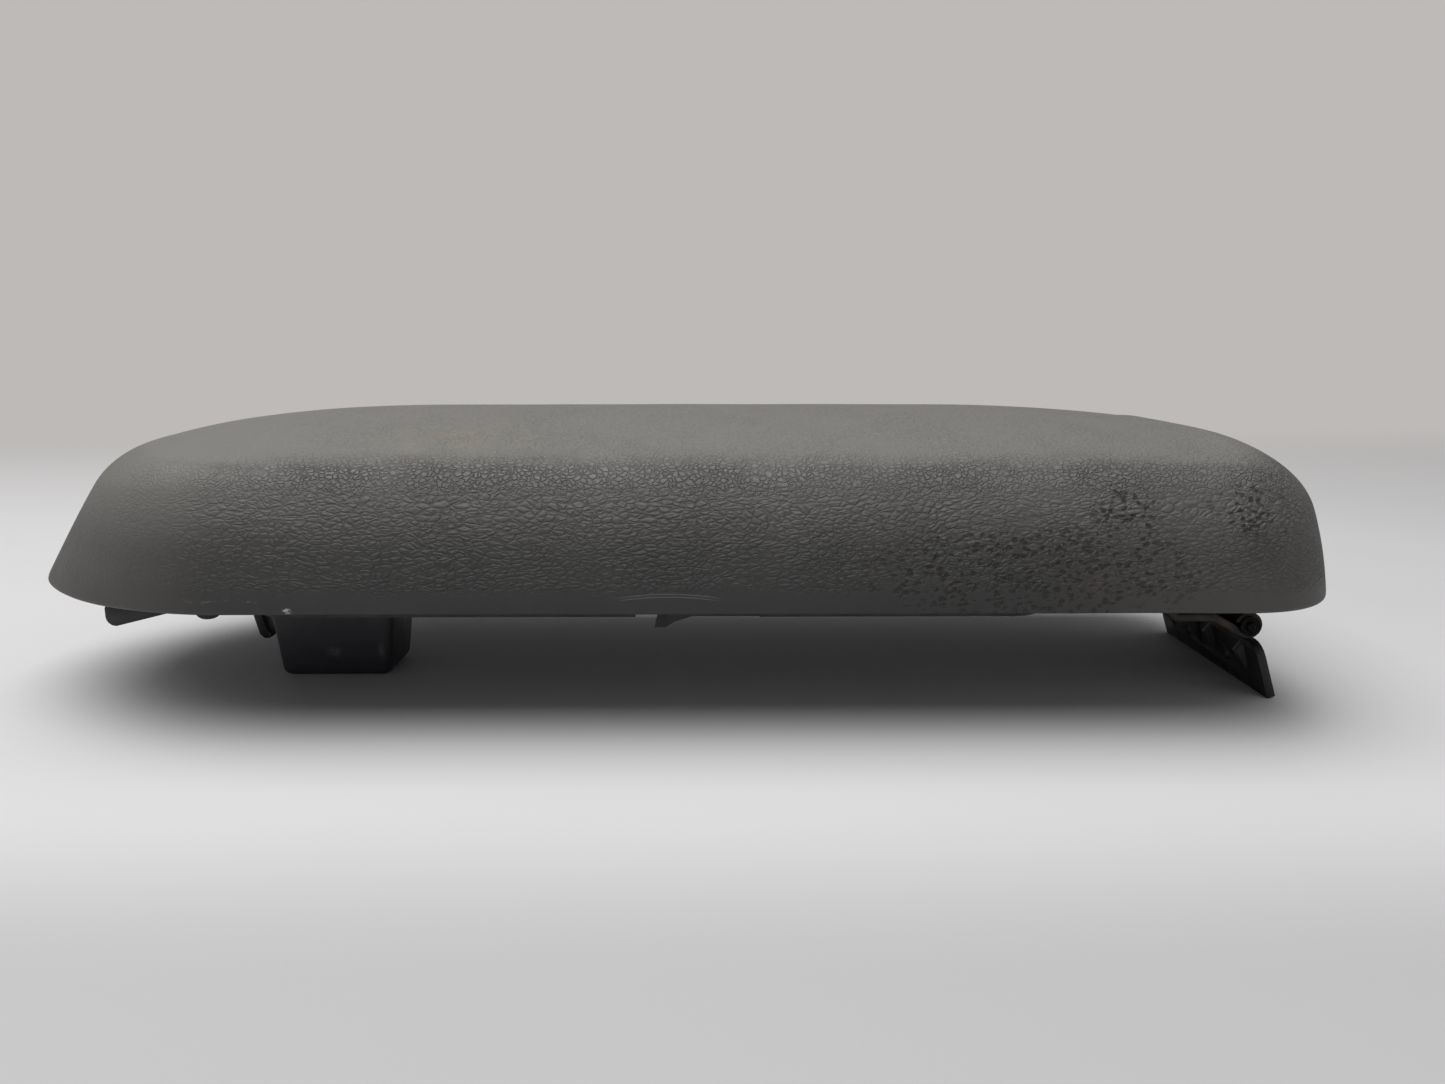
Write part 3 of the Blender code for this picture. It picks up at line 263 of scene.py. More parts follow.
def modify(item, kind, **values):
    """Adds a modifier with these values and applies it."""
    only(item)
    made = item.modifiers.new(kind.title(), kind)
    for name, value in values.items():
        setattr(made, name, value)
    bpy.ops.object.modifier_apply(modifier=made.name)


def smooth(item, angle=35 * DEG):
    """Smooth shading, with edges sharper than the angle kept."""
    only(item)
    bpy.ops.object.shade_smooth_by_angle(angle=angle)


def dress(item, finish, body):
    """Gives a finished piece its material and its body."""
    item.data.materials.clear()
    item.data.materials.append(finish)
    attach(item, body)
    return item


def body_of(node):
    """The body that a CAD node rides on."""
    for body, nodes in frame["record"]["behaviour"]["bodies"].items():
        if node in nodes:
            return body
    raise ValueError(f"{node} rides on no body")


class Surface:
    """A procedural material on Object coordinates, measured in millimetres."""

    def __init__(self, name, colour, roughness, metallic=0.0):
        self.material = bpy.data.materials.new(name)
        self.material.use_nodes = True
        self.nodes = self.material.node_tree.nodes
        self.links = self.material.node_tree.links
        self.shader = self.nodes["Principled BSDF"]
        self.put(self.shader, "Base Color", colour)
        self.put(self.shader, "Roughness", roughness)
        self.put(self.shader, "Metallic", metallic)
        self.coordinates = self.nodes.new("ShaderNodeTexCoord")
        self.place = self.stretch(self.coordinates.outputs["Object"], (1000, 1000, 1000))

    def put(self, node, name, value):
        """Sets one input, or links it where the value is a socket."""
        socket = node.inputs[name]
        if isinstance(value, bpy.types.NodeSocket):
            self.links.new(value, socket)
        elif socket.type == "RGBA" and len(value) == 3:
            socket.default_value = (*value, 1)
        else:
            socket.default_value = value

    def node(self, kind, settings, values):
        """A new node with these settings and inputs."""
        made = self.nodes.new("ShaderNode" + kind)
        for name, value in settings.items():
            setattr(made, name, value)
        for name, value in values.items():
            self.put(made, name, value)
        return made

    def stretch(self, vector, scale, shift=(0, 0, 0)):
        """The place, scaled and then moved."""
        made = self.node("Mapping", {}, {"Vector": vector, "Scale": scale, "Location": shift})
        return made.outputs["Vector"]

    def noise(self, size, detail=2.0, place=None, roughness=0.5, output="Fac"):
        """Soft noise whose lumps are about this size."""
        values = {"Vector": place or self.place, "Scale": 1 / size, "Detail": detail, "Roughness": roughness}
        return self.node("TexNoise", {}, values).outputs[output]

    def cells(self, size, feature, place=None, smoothness=None):
        """Voronoi cells of about this size."""
        values = {"Vector": place or self.place, "Scale": 1 / size}
        if smoothness is not None:
            values["Smoothness"] = smoothness
        return self.node("TexVoronoi", {"feature": feature}, values).outputs["Distance"]

    def calc(self, operation, one, other=0.0):
        """Two numbers put together."""
        made = self.node("Math", {"operation": operation}, {0: one, 1: other})
        return made.outputs[0]

    def times(self, *values):
        """The product of all the values."""
        product = values[0]
        for value in values[1:]:
            product = self.calc("MULTIPLY", product, value)
        return product

    def plus(self, *values):
        """The sum of all the values."""
        total = values[0]
        for value in values[1:]:
            total = self.calc("ADD", total, value)
        return total

    def most(self, *values):
        """The largest of the values."""
        largest = values[0]
        for value in values[1:]:
            largest = self.calc("MAXIMUM", largest, value)
        return largest

    def gap(self, one, other):
        """How far apart two numbers are."""
        return self.calc("ABSOLUTE", self.calc("SUBTRACT", one, other))

    def left(self, share):
        """What a share leaves of 1."""
        return self.calc("SUBTRACT", 1.0, share)

    def fade(self, value, start, end, low=0.0, high=1.0):
        """A smooth change from low to high as the value goes from start to end."""
        values = {"Value": value, "From Min": start, "From Max": end, "To Min": low, "To Max": high}
        return self.node("MapRange", {"interpolation_type": "SMOOTHSTEP"}, values).outputs["Result"]

    def blend(self, share, one, other):
        """From one colour to the other."""
        made = self.node("Mix", {"data_type": "RGBA"}, {0: share, 6: one, 7: other})
        return made.outputs[2]

    def axes(self, vector):
        """The three parts of a vector."""
        made = self.node("SeparateXYZ", {}, {0: vector})
        return made.outputs[0], made.outputs[1], made.outputs[2]

    def spot(self, centre, reach, edge=0.6):
        """1 inside an ellipsoid round the centre, in millimetres, fading to 0 at its reach."""
        scale = tuple(1 / each for each in reach)
        shift = tuple(-at / each for at, each in zip(centre, reach))
        moved = self.stretch(self.place, scale, shift)
        length = self.node("VectorMath", {"operation": "LENGTH"}, {0: moved}).outputs["Value"]
        return self.fade(length, 1.0, edge)

    def warp(self, place, size, reach):
        """The place, pushed about by noise of this size."""
        push = self.noise(size, 2.0, place, output="Color")
        centred = self.node("VectorMath", {"operation": "SUBTRACT"}, {0: push, 1: (0.5, 0.5, 0.5)})
        scaled = self.node("VectorMath", {"operation": "SCALE"}, {0: centred.outputs[0], "Scale": reach})
        return self.node("VectorMath", {"operation": "ADD"}, {0: place, 1: scaled.outputs[0]}).outputs[0]

    def bump(self, height, distance):
        """Raises the surface by the height, whose 1 is this distance."""
        made = self.node("Bump", {}, {"Height": height, "Distance": distance, "Strength": 1.0})
        self.put(self.shader, "Normal", made.outputs["Normal"])


def skin_grain(made, size):
    """Folds, ripples, pebbles and hollows of the grain, with cells of about this size in millimetres."""
    drawn = made.warp(made.warp(made.stretch(made.place, (0.52, 0.6, 1.0)), 13.0, 5.0), 2.2, 0.9)
    fold = made.fade(made.cells(0.84 * size, "DISTANCE_TO_EDGE", drawn), 0.0, 0.26)
    ripple = made.fade(made.gap(made.noise(1.9 * size, 3.0, drawn), 0.5), 0.0, 0.1)
    even = made.warp(made.warp(made.stretch(made.place, (0.8, 0.9, 1.0)), 6.0, 3.0), 1.6, 1.3)
    pebble = made.fade(made.cells(0.82 * size, "DISTANCE_TO_EDGE", even), 0.0, 0.2)
    hollow = made.cells(1.05 * size, "F1", made.warp(even, 1.2, 0.7))
    return fold, ripple, pebble, hollow


def skin_marks(made, x, z):
    """How much of the pale marks shows: a chip and scuffs by the lower edge, and a thin double scratch."""
    chip = made.times(made.spot(*CHIP), made.fade(made.noise(0.6), 0.45, 0.55), 0.9)
    streaky = made.noise(0.9, 3.0, made.stretch(made.place, (0.4, 1.0, 1.0)))
    scuffs = made.times(made.spot(*SCUFFS), made.fade(streaky, 0.58, 0.68), 0.17)
    along = made.calc("SUBTRACT", x, SCRATCH_X)
    bow = made.plus(z, made.times(along, along, SCRATCH_BOW), -SCRATCH_Z)
    twin = made.gap(made.calc("ABSOLUTE", bow), SCRATCH_SPREAD)
    scratch = made.times(made.fade(twin, 0.16, 0.04), made.spot(*SCRATCH), 0.2)
    return made.most(chip, made.plus(scuffs, scratch))


def skin_colour(made, skin, creased, pits):
    """The skin's colour: paler on top and at the nose, partly from wear and partly as painted sheen, with
    painted shade towards the lower edge, dark in creases and pits, soiled and marked.
    """
    x, _, z = made.axes(made.place)
    up = made.axes(made.coordinates.outputs["Normal"])[2]
    mottled = made.fade(made.noise(34.0, 3.0), 0.3, 0.72)
    colour = made.blend(mottled, skin.colour, tuple(0.87 * part for part in skin.colour))
    # Paler on top and at the nose tip: partly wear, partly painted sheen, stronger where the skin faces up
    tip = made.fade(made.plus(x, made.times(z, -0.5)), -125.0, -165.0)
    tip_wear_and_sheen = made.times(tip, made.fade(up, -0.2, 0.6, 0.25, 0.75))
    colour = made.blend(made.most(made.fade(up, 0.8, 0.998), tip_wear_and_sheen), colour, skin.wear_and_sheen)
    colour = made.blend(creased, colour, skin.crease)

    # Painted shade: the wall darkened towards its lower edge, less of it at both ends
    low = made.plus(
        made.times(made.fade(z, *WALL_SHADE_STARTS), 0.76), made.times(made.fade(z, *WALL_SHADE_THICKENS), 0.16)
    )
    ends = made.times(made.fade(x, 95.0, 150.0, 1.0, 0.72), made.fade(x, -95.0, -150.0, 1.0, 0.75))
    colour = made.blend(made.times(low, ends), colour, skin.wall_shade)
    colour = made.blend(made.times(pits, 0.9), colour, skin.dirt)
    brown = made.times(made.spot(*BROWN), made.fade(made.noise(8.0, 3.0), 0.4, 0.65), 0.3)
    colour = made.blend(brown, colour, skin.tint)
    smear = made.times(made.spot(*SMEAR), made.fade(made.noise(7.0), 0.3, 0.6), 0.5)
    colour = made.blend(smear, colour, skin.dirt)
    stain = made.times(made.spot(*STAIN), made.fade(made.noise(6.0, 3.0), 0.35, 0.7), 0.3)
    colour = made.blend(stain, colour, skin.stain)
    return made.blend(skin_marks(made, x, z), colour, skin.scuff)


def grained_skin(skin):
    """Moulded skin: folds along the walls, pebbles at the break, worn smooth on top, with dirt and marks."""
    made = Surface("grained_skin", skin.colour, 0.5)
    x, _, z = made.axes(made.place)
    up = made.axes(made.coordinates.outputs["Normal"])[2]
    fold, ripple, pebble, hollow = skin_grain(made, skin.grain / MM)

    # Where the skin turns over, and where the grain is worn or moulded shallow
    turned_over = made.times(made.fade(z, *BREAK_STARTS), made.fade(z, *BREAK_ENDS), made.fade(up, 1.0, 0.97))
    on_top = made.times(made.fade(z, *TOP_STARTS), made.fade(up, 0.5, 0.9))
    wall = made.times(made.fade(z, *HEM_ENDS), made.fade(z, *GRAIN_DEEPENS, 0.9, 1.0))
    nose = made.fade(made.plus(x, made.times(z, -0.55)), -128.0, -160.0, 1.0, 0.3)
    patchy = made.fade(made.noise(21.0, 2.0), 0.3, 0.7, 0.65, 1.1)
    strength = made.times(wall, nose, patchy, made.fade(on_top, 0.0, 1.0, 1.0, 0.36))
    folded = made.plus(made.times(fold, 0.75), made.times(ripple, 0.5))
    pebbled = made.most(turned_over, on_top)
    height = made.plus(made.times(folded, made.left(pebbled)), made.times(pebble, pebbled))

    # Pits with dirt in them towards the tail
    soiled = made.most(*(made.spot(*each) for each in SOILED))
    clumps = made.fade(made.plus(made.noise(5.0, 3.0), made.times(soiled, 0.2)), 0.53, 0.66)
    pits = made.times(made.fade(hollow, 0.5, 0.24), soiled, clumps)
    fine = made.times(made.noise(0.35, 3.0), 0.05)
    made.bump(made.plus(made.times(height, strength), fine, made.times(pits, -0.9)), skin.relief)

    creased = made.most(
        made.times(made.left(pebble), turned_over, strength, 0.42), made.times(made.left(fold), strength, 0.3)
    )
    made.put(made.shader, "Base Color", skin_colour(made, skin, creased, pits))
    rough = made.fade(made.noise(14.0, 4.0), 0.3, 0.7, 0.5, 0.6)
    made.put(made.shader, "Roughness", made.plus(rough, made.times(creased, 0.2), made.times(pits, 0.2)))
    return made.material


def moulded_foam(colour):
    """Open foam, pored all over."""
    made = Surface("moulded_foam", colour, 0.95)
    pores = made.cells(0.9, "F1", made.warp(made.place, 2.0, 0.5))
    shaded = tuple(0.6 * part for part in colour)
    made.put(made.shader, "Base Color", made.blend(made.fade(pores, 0.1, 0.5), shaded, colour))
    made.bump(pores, 0.3 * MM)
    return made.material


def moulded_plastic(name, colour, roughness, grain=0.35, highlights=()):
    """Textured moulding, rubbed in patches, finely scratched and dusty where it faces up, with pale painted
    highlights where any are given.
    """
    made = Surface(name, colour, roughness)
    pale = tuple(0.6 * part + 0.05 for part in colour)
    rubbed = made.fade(made.noise(17.0, 4.0, roughness=0.6), 0.5, 0.72)
    across = made.stretch(made.place, (0.05, 1.4, 1.1))
    scratches = made.fade(made.noise(0.6, 3.0, across), 0.66, 0.74)
    up = made.axes(made.coordinates.outputs["Normal"])[2]
    dusty = made.fade(made.noise(5.0, 5.0, roughness=0.7), 0.42, 0.7)
    settled = made.times(made.fade(up, 0.2, 1.0), dusty, 0.15)
    marks = made.plus(made.times(rubbed, 0.12), made.times(scratches, 0.16), settled)
    base = made.blend(marks, colour, pale)
    # Painted highlights: pale patches that stand in for light caught on the face
    for centre, reach in highlights:
        patch = made.times(made.spot(centre, reach, 0.2), made.fade(made.noise(1.4, 3.0), 0.3, 0.55), 0.7)
        base = made.blend(patch, base, HIGHLIGHT_COLOUR)
    made.put(made.shader, "Base Color", base)
    low, high = roughness - 0.07, roughness + 0.08
    made.put(made.shader, "Roughness", made.fade(made.noise(6.0, 4.0), 0.3, 0.7, low, high))
    spark = made.cells(grain, "SMOOTH_F1", smoothness=0.4)
    made.bump(made.plus(spark, made.times(made.noise(9.0, 2.0), 1.5)), 0.02 * MM)
    return made.material


def bright_steel(name, colour, roughness, streak):
    """Drawn or turned steel, with faint lines along the streak and a few dull marks."""
    made = Surface(name, colour, roughness, 1.0)
    lines = made.noise(0.25, 3.0, made.stretch(made.place, streak))
    dull = made.fade(made.noise(2.2, 4.0, roughness=0.65), 0.5, 0.75)
    shaded = tuple(0.35 * part for part in colour)
    made.put(made.shader, "Base Color", made.blend(made.times(dull, 0.6), colour, shaded))
    streaked = made.fade(lines, 0.3, 0.7, roughness, roughness + 0.15)
    made.put(made.shader, "Roughness", made.plus(streaked, made.times(dull, 0.2)))
    made.bump(lines, 0.012 * MM)
    return made.material


def coated_steel(name, colour):
    """Pressed strip with a dull dark coat, rubbed at places, with a breath of rust."""
    made = Surface(name, colour, 0.45, 0.6)
    patch = made.fade(made.noise(7.0, 5.0, roughness=0.65), 0.48, 0.7)
    coat = made.blend(made.times(patch, 0.5), colour, (0.075, 0.05, 0.035))
    made.put(made.shader, "Base Color", coat)
    made.put(made.shader, "Roughness", made.fade(made.noise(3.0, 4.0), 0.3, 0.7, 0.38, 0.6))
    made.bump(made.plus(made.noise(1.2, 4.0), made.noise(14.0, 1.0)), 0.03 * MM)
    return made.material


def bumper_rubber(colour):
    """Soft rubber with a bloom on it."""
    made = Surface("bumper_rubber", colour, 0.8)
    bloom = made.fade(made.noise(2.4, 4.0), 0.4, 0.7)
    made.put(made.shader, "Base Color", made.blend(made.times(bloom, 0.4), colour, (0.04, 0.04, 0.04)))
    made.bump(made.noise(0.5, 3.0), 0.03 * MM)
    return made.material


def wall_profile(wall, with_lip):
    """(inset, height) up one wall, from the end of its turned-under lip, or from its foot, to the top."""
    lean, rounding, slope, height, bow = wall
    turn = 90 * DEG - lean - slope
    reach = rounding * math.tan(turn / 2)
    corner_height = height - reach * math.sin(slope)
    start = corner_height - reach * math.cos(lean)
    foot_lean = math.atan(math.tan(lean) - 2 * bow / (start - FOOT_ROUND))
    foot = FOOT_ROUND * (1 - math.sin(foot_lean))

    def at(level):
        """How far in the wall is at this height."""
        share = max(1 - (level - foot) / (start - foot), 0)
        return (level - foot) * math.tan(lean) + bow * (share ** 2 - 1)

    points = []
    if with_lip:
        for step in range(LIP_STEPS):
            points.append((SKIN_LIP + (FOOT_ROUND - SKIN_LIP) * step / LIP_STEPS, 0))
        for step in range(FOOT_STEPS):
            angle = (90 * DEG - foot_lean) * step / FOOT_STEPS
            inset = FOOT_ROUND * (math.cos(foot_lean) - math.sin(angle))
            points.append((inset, FOOT_ROUND * (1 - math.cos(angle))))
    for step in range(WALL_STEPS):
        level = foot + (start - foot) * step / WALL_STEPS
        points.append((at(level), level))
    first = 90 * DEG - lean
    for step in range(ROUND_STEPS + 1):
        angle = first - turn * step / ROUND_STEPS
        inset = at(start) + rounding * (math.sin(first) - math.sin(angle))
        points.append((inset, start + rounding * (math.cos(angle) - math.cos(first))))
    return points


def quarter(share, power):
    """A point on a quarter of a round with this power, at a share of its way from (1, 0) to (0, 1)."""
    angle = 90 * DEG * share
    return max(math.cos(angle), 0) ** (2 / power) * (share < 1), math.sin(angle) ** (2 / power)


def pad_ring(side, nose, tail):
    """The near half of the pad's outline where the walls are this far in and this high."""
    half = PAD_HIGH.y - side[0]
    nose_x = PAD_LOW.x + NOSE_REACH
    tail_x = PAD_HIGH.x - TAIL_CORNER
    corner_y = PAD_HIGH.y - TAIL_CORNER_WIDTH
    base = PAD_LOW.z
    points = []
    for step in range(NOSE_STEPS + 1):
        along, across = quarter(step / NOSE_STEPS, NOSE_POWER)
        share = math.cos(90 * DEG * step / NOSE_STEPS) ** 2
        height = side[1] * (1 - share) + nose[1] * share
        points.append(Vector((nose_x - (NOSE_REACH - nose[0]) * along, -half * across, base + height)))
    for step in range(1, SIDE_STEPS):
        points.append(Vector((nose_x + (tail_x - nose_x) * step / SIDE_STEPS, -half, base + side[1])))
    for step in range(CORNER_STEPS + 1):
        across, along = quarter(step / CORNER_STEPS, TAIL_POWER)
        share = math.sin(90 * DEG * step / CORNER_STEPS) ** 2
        height = side[1] * (1 - share) + tail[1] * share
        place = tail_x + (TAIL_CORNER - tail[0]) * along
        points.append(Vector((place, -corner_y - (half - corner_y) * across, base + height)))
    for step in range(1, TAIL_STEPS + 1):
        across = -corner_y * (1 - step / TAIL_STEPS)
        points.append(Vector((tail_x + TAIL_CORNER - tail[0], across, base + tail[1])))
    return points


def crown(x, start, end):
    """Height of the pad's middle line, which falls towards both ends."""
    peak = PAD_LOW.z + CROWN_HEIGHT
    nose = max(1 - (x - start.x) / NOSE_FALL, 0) ** NOSE_FALL_POWER
    tail = max(1 - (end.x - x) / TAIL_FALL, 0) ** TAIL_FALL_POWER
    return peak - (peak - start.z) * nose - (peak - end.z) * tail


def pad_rows(with_lip):
    """Rows of points over the near half of the pad, from its lower edge to its middle line."""
    profiles = [wall_profile(wall, with_lip) for wall in (SIDE_WALL, NOSE_WALL, TAIL_WALL)]
    rows = [pad_ring(*stations) for stations in zip(*profiles)]
    edge = rows[-1]
    start, end = edge[0], edge[-1]
    travel = [0.0]
    for one, other in zip(edge, edge[1:]):
        travel.append(travel[-1] + (other - one).length)
    for step in range(1, TOP_STEPS + 1):
        share = step / TOP_STEPS
        row = []
        for outer, distance in zip(edge, travel):
            inner = Vector((start.x + (end.x - start.x) * distance / travel[-1], 0, 0))
            point = outer.lerp(inner, share)
            rise = 1 - (1 - share) ** 2
            point.z = outer.z + (crown(point.x, start, end) - outer.z) * rise
            row.append(point)
        rows.append(row)
    return rows


def pad_shell(name, with_lip):
    """Both halves of the pad's outside, as one open sheet: a grid laid over the rows of points."""
    rows = pad_rows(with_lip)
    deselect()
    bpy.ops.mesh.primitive_grid_add(x_subdivisions=len(rows[0]) - 1, y_subdivisions=len(rows) - 1, size=1)
    item = bpy.context.object
    item.name = item.data.name = name
    order = sorted(item.data.vertices, key=lambda corner: (round(corner.co.y, 5), round(corner.co.x, 5)))
    for corner, point in zip(order, [point for row in rows for point in row]):
        corner.co = point
    edit(item)
    bpy.ops.mesh.select_all(action="SELECT")
    bpy.ops.mesh.remove_doubles(threshold=0.005 * MM)
    bpy.ops.object.mode_set(mode="OBJECT")
    modify(item, "MIRROR", use_axis=(False, True, False), merge_threshold=0.02 * MM, use_clip=True)
    edit(item)
    bpy.ops.mesh.select_all(action="SELECT")
    bpy.ops.mesh.normals_make_consistent(inside=False)
    bpy.ops.object.mode_set(mode="OBJECT")
    top = max(item.data.polygons, key=lambda face: face.center.z)
    if top.normal.z < 0:
        edit(item)
        bpy.ops.mesh.select_all(action="SELECT")
        bpy.ops.mesh.flip_normals()
        bpy.ops.object.mode_set(mode="OBJECT")
    return item


class ARMREST_OT_skin(Operator):
    """Models the grained skin of the pad, turned under at its edge"""

    bl_idname = "armrest.skin"
    bl_label = "Cover Skin"

    def execute(self, context):
        skin = context.scene.armrest_skin
        item = pad_shell("pad_skin", True)
        modify(item, "SOLIDIFY", thickness=skin.thickness, offset=-1)
        modify(item, "SUBSURF", levels=1, render_levels=1)
        normals = [corner.normal.copy() for corner in item.data.vertices]
        for corner, normal in zip(item.data.vertices, normals):
            corner.co += normal * noise.noise(corner.co / UNEVEN_SPREAD) * UNEVEN_HEIGHT
        smooth(item, 60 * DEG)
        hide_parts("cover_skin")
        dress(item, grained_skin(skin), "lid")
        return {"FINISHED"}


class ARMREST_OT_foam(Operator):
    """Models the moulded foam that fills the skin"""

    bl_idname = "armrest.foam"
    bl_label = "Foam"

    def execute(self, context):
        skin = context.scene.armrest_skin
        item = pad_shell("foam_filling", False)
        edit(item)
        bpy.ops.mesh.select_all(action="SELECT")
        bpy.ops.transform.shrink_fatten(value=-(skin.thickness + FOAM_ROOM))
        bpy.ops.object.mode_set(mode="OBJECT")
        modify(item, "SOLIDIFY", thickness=skin.foam_wall, offset=-1)
        # The foam stands on the skin's lip
        lowest = PAD_LOW.z + skin.thickness + LIP_ROOM
        for corner in item.data.vertices:
            corner.co.z = max(corner.co.z, lowest)
        smooth(item, 60 * DEG)
        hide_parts("foam_pad")
        dress(item, moulded_foam(tuple(skin.foam)), "lid")
        return {"FINISHED"}


def soft_edged(node, finish, width):
    """A copy of a CAD node whose sharp edges are rounded, in place of the node."""
    source = frame["nodes"][node]
    item = bpy.data.objects.new(node + "_moulded", source.data.copy())
    bpy.context.scene.collection.objects.link(item)
    edit(item)
    bpy.ops.mesh.select_all(action="SELECT")
    bpy.ops.mesh.remove_doubles(threshold=0.002 * MM)
    bpy.ops.mesh.dissolve_limited(angle_limit=1 * DEG)
    bpy.ops.object.mode_set(mode="OBJECT")
    modify(item, "BEVEL", width=width, segments=2, limit_method="ANGLE", angle_limit=35 * DEG,
           use_clamp_overlap=True, miter_outer="MITER_ARC")
    smooth(item)
    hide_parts(node)
    return dress(item, finish, body_of(node))


def turned(name, profile, sides=40):
    """A closed round piece about Z, drawn ring by ring from its first (radius, height) to its last."""
    radius, height = profile[0]
    deselect()
    place = (0, 0, height)
    bpy.ops.mesh.primitive_circle_add(vertices=sides, radius=radius, fill_type="NGON", location=place)
    item = bpy.context.object
    item.name = item.data.name = name
    bpy.ops.object.transform_apply(location=True, rotation=True, scale=True)
    edit(item, "FACE")
    bpy.ops.mesh.select_all(action="SELECT")
    for wide, level in profile[1:]:
        bpy.ops.mesh.extrude_region_move(TRANSFORM_OT_translate={"value": (0, 0, level - height)})
        share = wide / radius
        bpy.ops.transform.resize(value=(share, share, 1), center_override=(0, 0, level))
        radius, height = wide, level
    bpy.ops.mesh.select_all(action="SELECT")
    bpy.ops.mesh.normals_make_consistent(inside=False)
    bpy.ops.object.mode_set(mode="OBJECT")
    return item


def settle(item, place, across=False):
    """Moves a piece modelled about Z to its place, laid along Y first where it goes across."""
    edit(item)
    bpy.ops.mesh.select_all(action="SELECT")
    if across:
        bpy.ops.transform.rotate(value=90 * DEG, orient_axis="X", center_override=(0, 0, 0))
    bpy.ops.transform.translate(value=place)
    bpy.ops.object.mode_set(mode="OBJECT")
    return item


def refinish(finish, *nodes):
    """Gives CAD nodes this material."""
    for name in nodes:
        node = frame["nodes"][name]
        node.data.materials.clear()
        node.data.materials.append(finish)


def numbered(name):
    """The CAD nodes of a numbered set."""
    return [node for node in sorted(frame["nodes"]) if node.startswith(name)]


def stand_in(item, node, finish, angle=35 * DEG):
    """Puts a finished piece in place of its CAD node."""
    smooth(item, angle)
    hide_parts(node)
    return dress(item, finish, body_of(node))


def footing(node):
    """Where the middle of a CAD node's underside is, with half its width and its height."""
    low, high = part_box(node)
    return ((low.x + high.x) / 2, (low.y + high.y) / 2, low.z), (high.x - low.x) / 2, high.z - low.z


def bumper_profile(wide, tall):
    """(radius, height) up a bumper: a domed foot, and a stem that goes into the panel."""
    stem, base, chamfer, steps = 0.5 * wide, 0.53 * tall, 0.2 * MM, 8
    profile = [(0.25 * wide, 0)]
    for step in range(1, steps + 1):
        angle = 90 * DEG * step / steps
        profile.append((wide * (0.25 + 0.75 * math.sin(angle)), base * 0.8 * (1 - math.cos(angle))))
    return profile + [(wide, base), (stem, base), (stem, tall - chamfer), (stem - chamfer, tall)]


def screw_profile(wide, tall):
    """(radius, height) up a screw: its pan head, its ringed shank and its point."""
    profile = [(0.45 * wide, 0), (0.66 * wide, 0.12 * SCREW_HEAD), (0.86 * wide, 0.38 * SCREW_HEAD),
               (0.97 * wide, 0.7 * SCREW_HEAD), (wide, SCREW_HEAD), (SCREW_SHANK, SCREW_HEAD)]
    level = SCREW_HEAD + 0.8 * MM
    while level + 1.2 * MM < tall - SCREW_SHANK:
        profile += [(SCREW_CORE, level), (SCREW_SHANK, level + SCREW_PITCH / 2)]
        level += SCREW_PITCH
    return profile + [(SCREW_CORE, tall - SCREW_SHANK), (0.3 * SCREW_SHANK, tall)]


def cut_recess(screw):
    """Cuts a cross recess into the head of a screw that stands at the origin."""
    for turn in (0, 90 * DEG):
        deselect()
        bpy.ops.mesh.primitive_cube_add(size=1)
        cutter = bpy.context.object
        edit(cutter)
        bpy.ops.mesh.select_all(action="SELECT")
        bpy.ops.transform.resize(value=RECESS, center_override=(0, 0, 0))
        bpy.ops.transform.rotate(value=turn, orient_axis="Z", center_override=(0, 0, 0))
        bpy.ops.object.mode_set(mode="OBJECT")
        modify(screw, "BOOLEAN", operation="DIFFERENCE", solver="EXACT", object=cutter)
        bpy.data.objects.remove(cutter, do_unlink=True)


class ARMREST_OT_carrier(Operator):
    """Finishes the carrier inside the pad, and models the panel that closes it with its bumpers"""

    bl_idname = "armrest.carrier"
    bl_label = "Carrier and Panel"

    def execute(self, context):
        hardware = context.scene.armrest_hardware
        refinish(moulded_plastic("carrier_plastic", tuple(hardware.carrier), 0.55), "upper_carrier")
        finish = moulded_plastic("panel_plastic", tuple(hardware.panel), 0.6, 0.5)
        soft_edged("inner_panel", finish, 0.35 * MM)
        rubber = bumper_rubber(tuple(hardware.rubber))
        for node in numbered("bumper"):
            place, wide, tall = footing(node)
            bumper = turned(node + "_turned", bumper_profile(wide, tall))
            stand_in(settle(bumper, place), node, rubber)
        return {"FINISHED"}


class ARMREST_OT_screws(Operator):
    """Models the pan-head screws, with a cross recess in each head"""

    bl_idname = "armrest.screws"
    bl_label = "Screws"

    def execute(self, context):
        hardware = context.scene.armrest_hardware
        finish = bright_steel("screw_steel", tuple(hardware.screw), 0.4, (1, 1, 0.2))
        for node in [*numbered("panel_screw"), *numbered("housing_screw"), *numbered("leaf_screw")]:
            place, wide, tall = footing(node)
            screw = turned(node + "_turned", screw_profile(wide, tall), 24)
            cut_recess(screw)
            stand_in(settle(screw, place), node, finish, 40 * DEG)
        return {"FINISHED"}


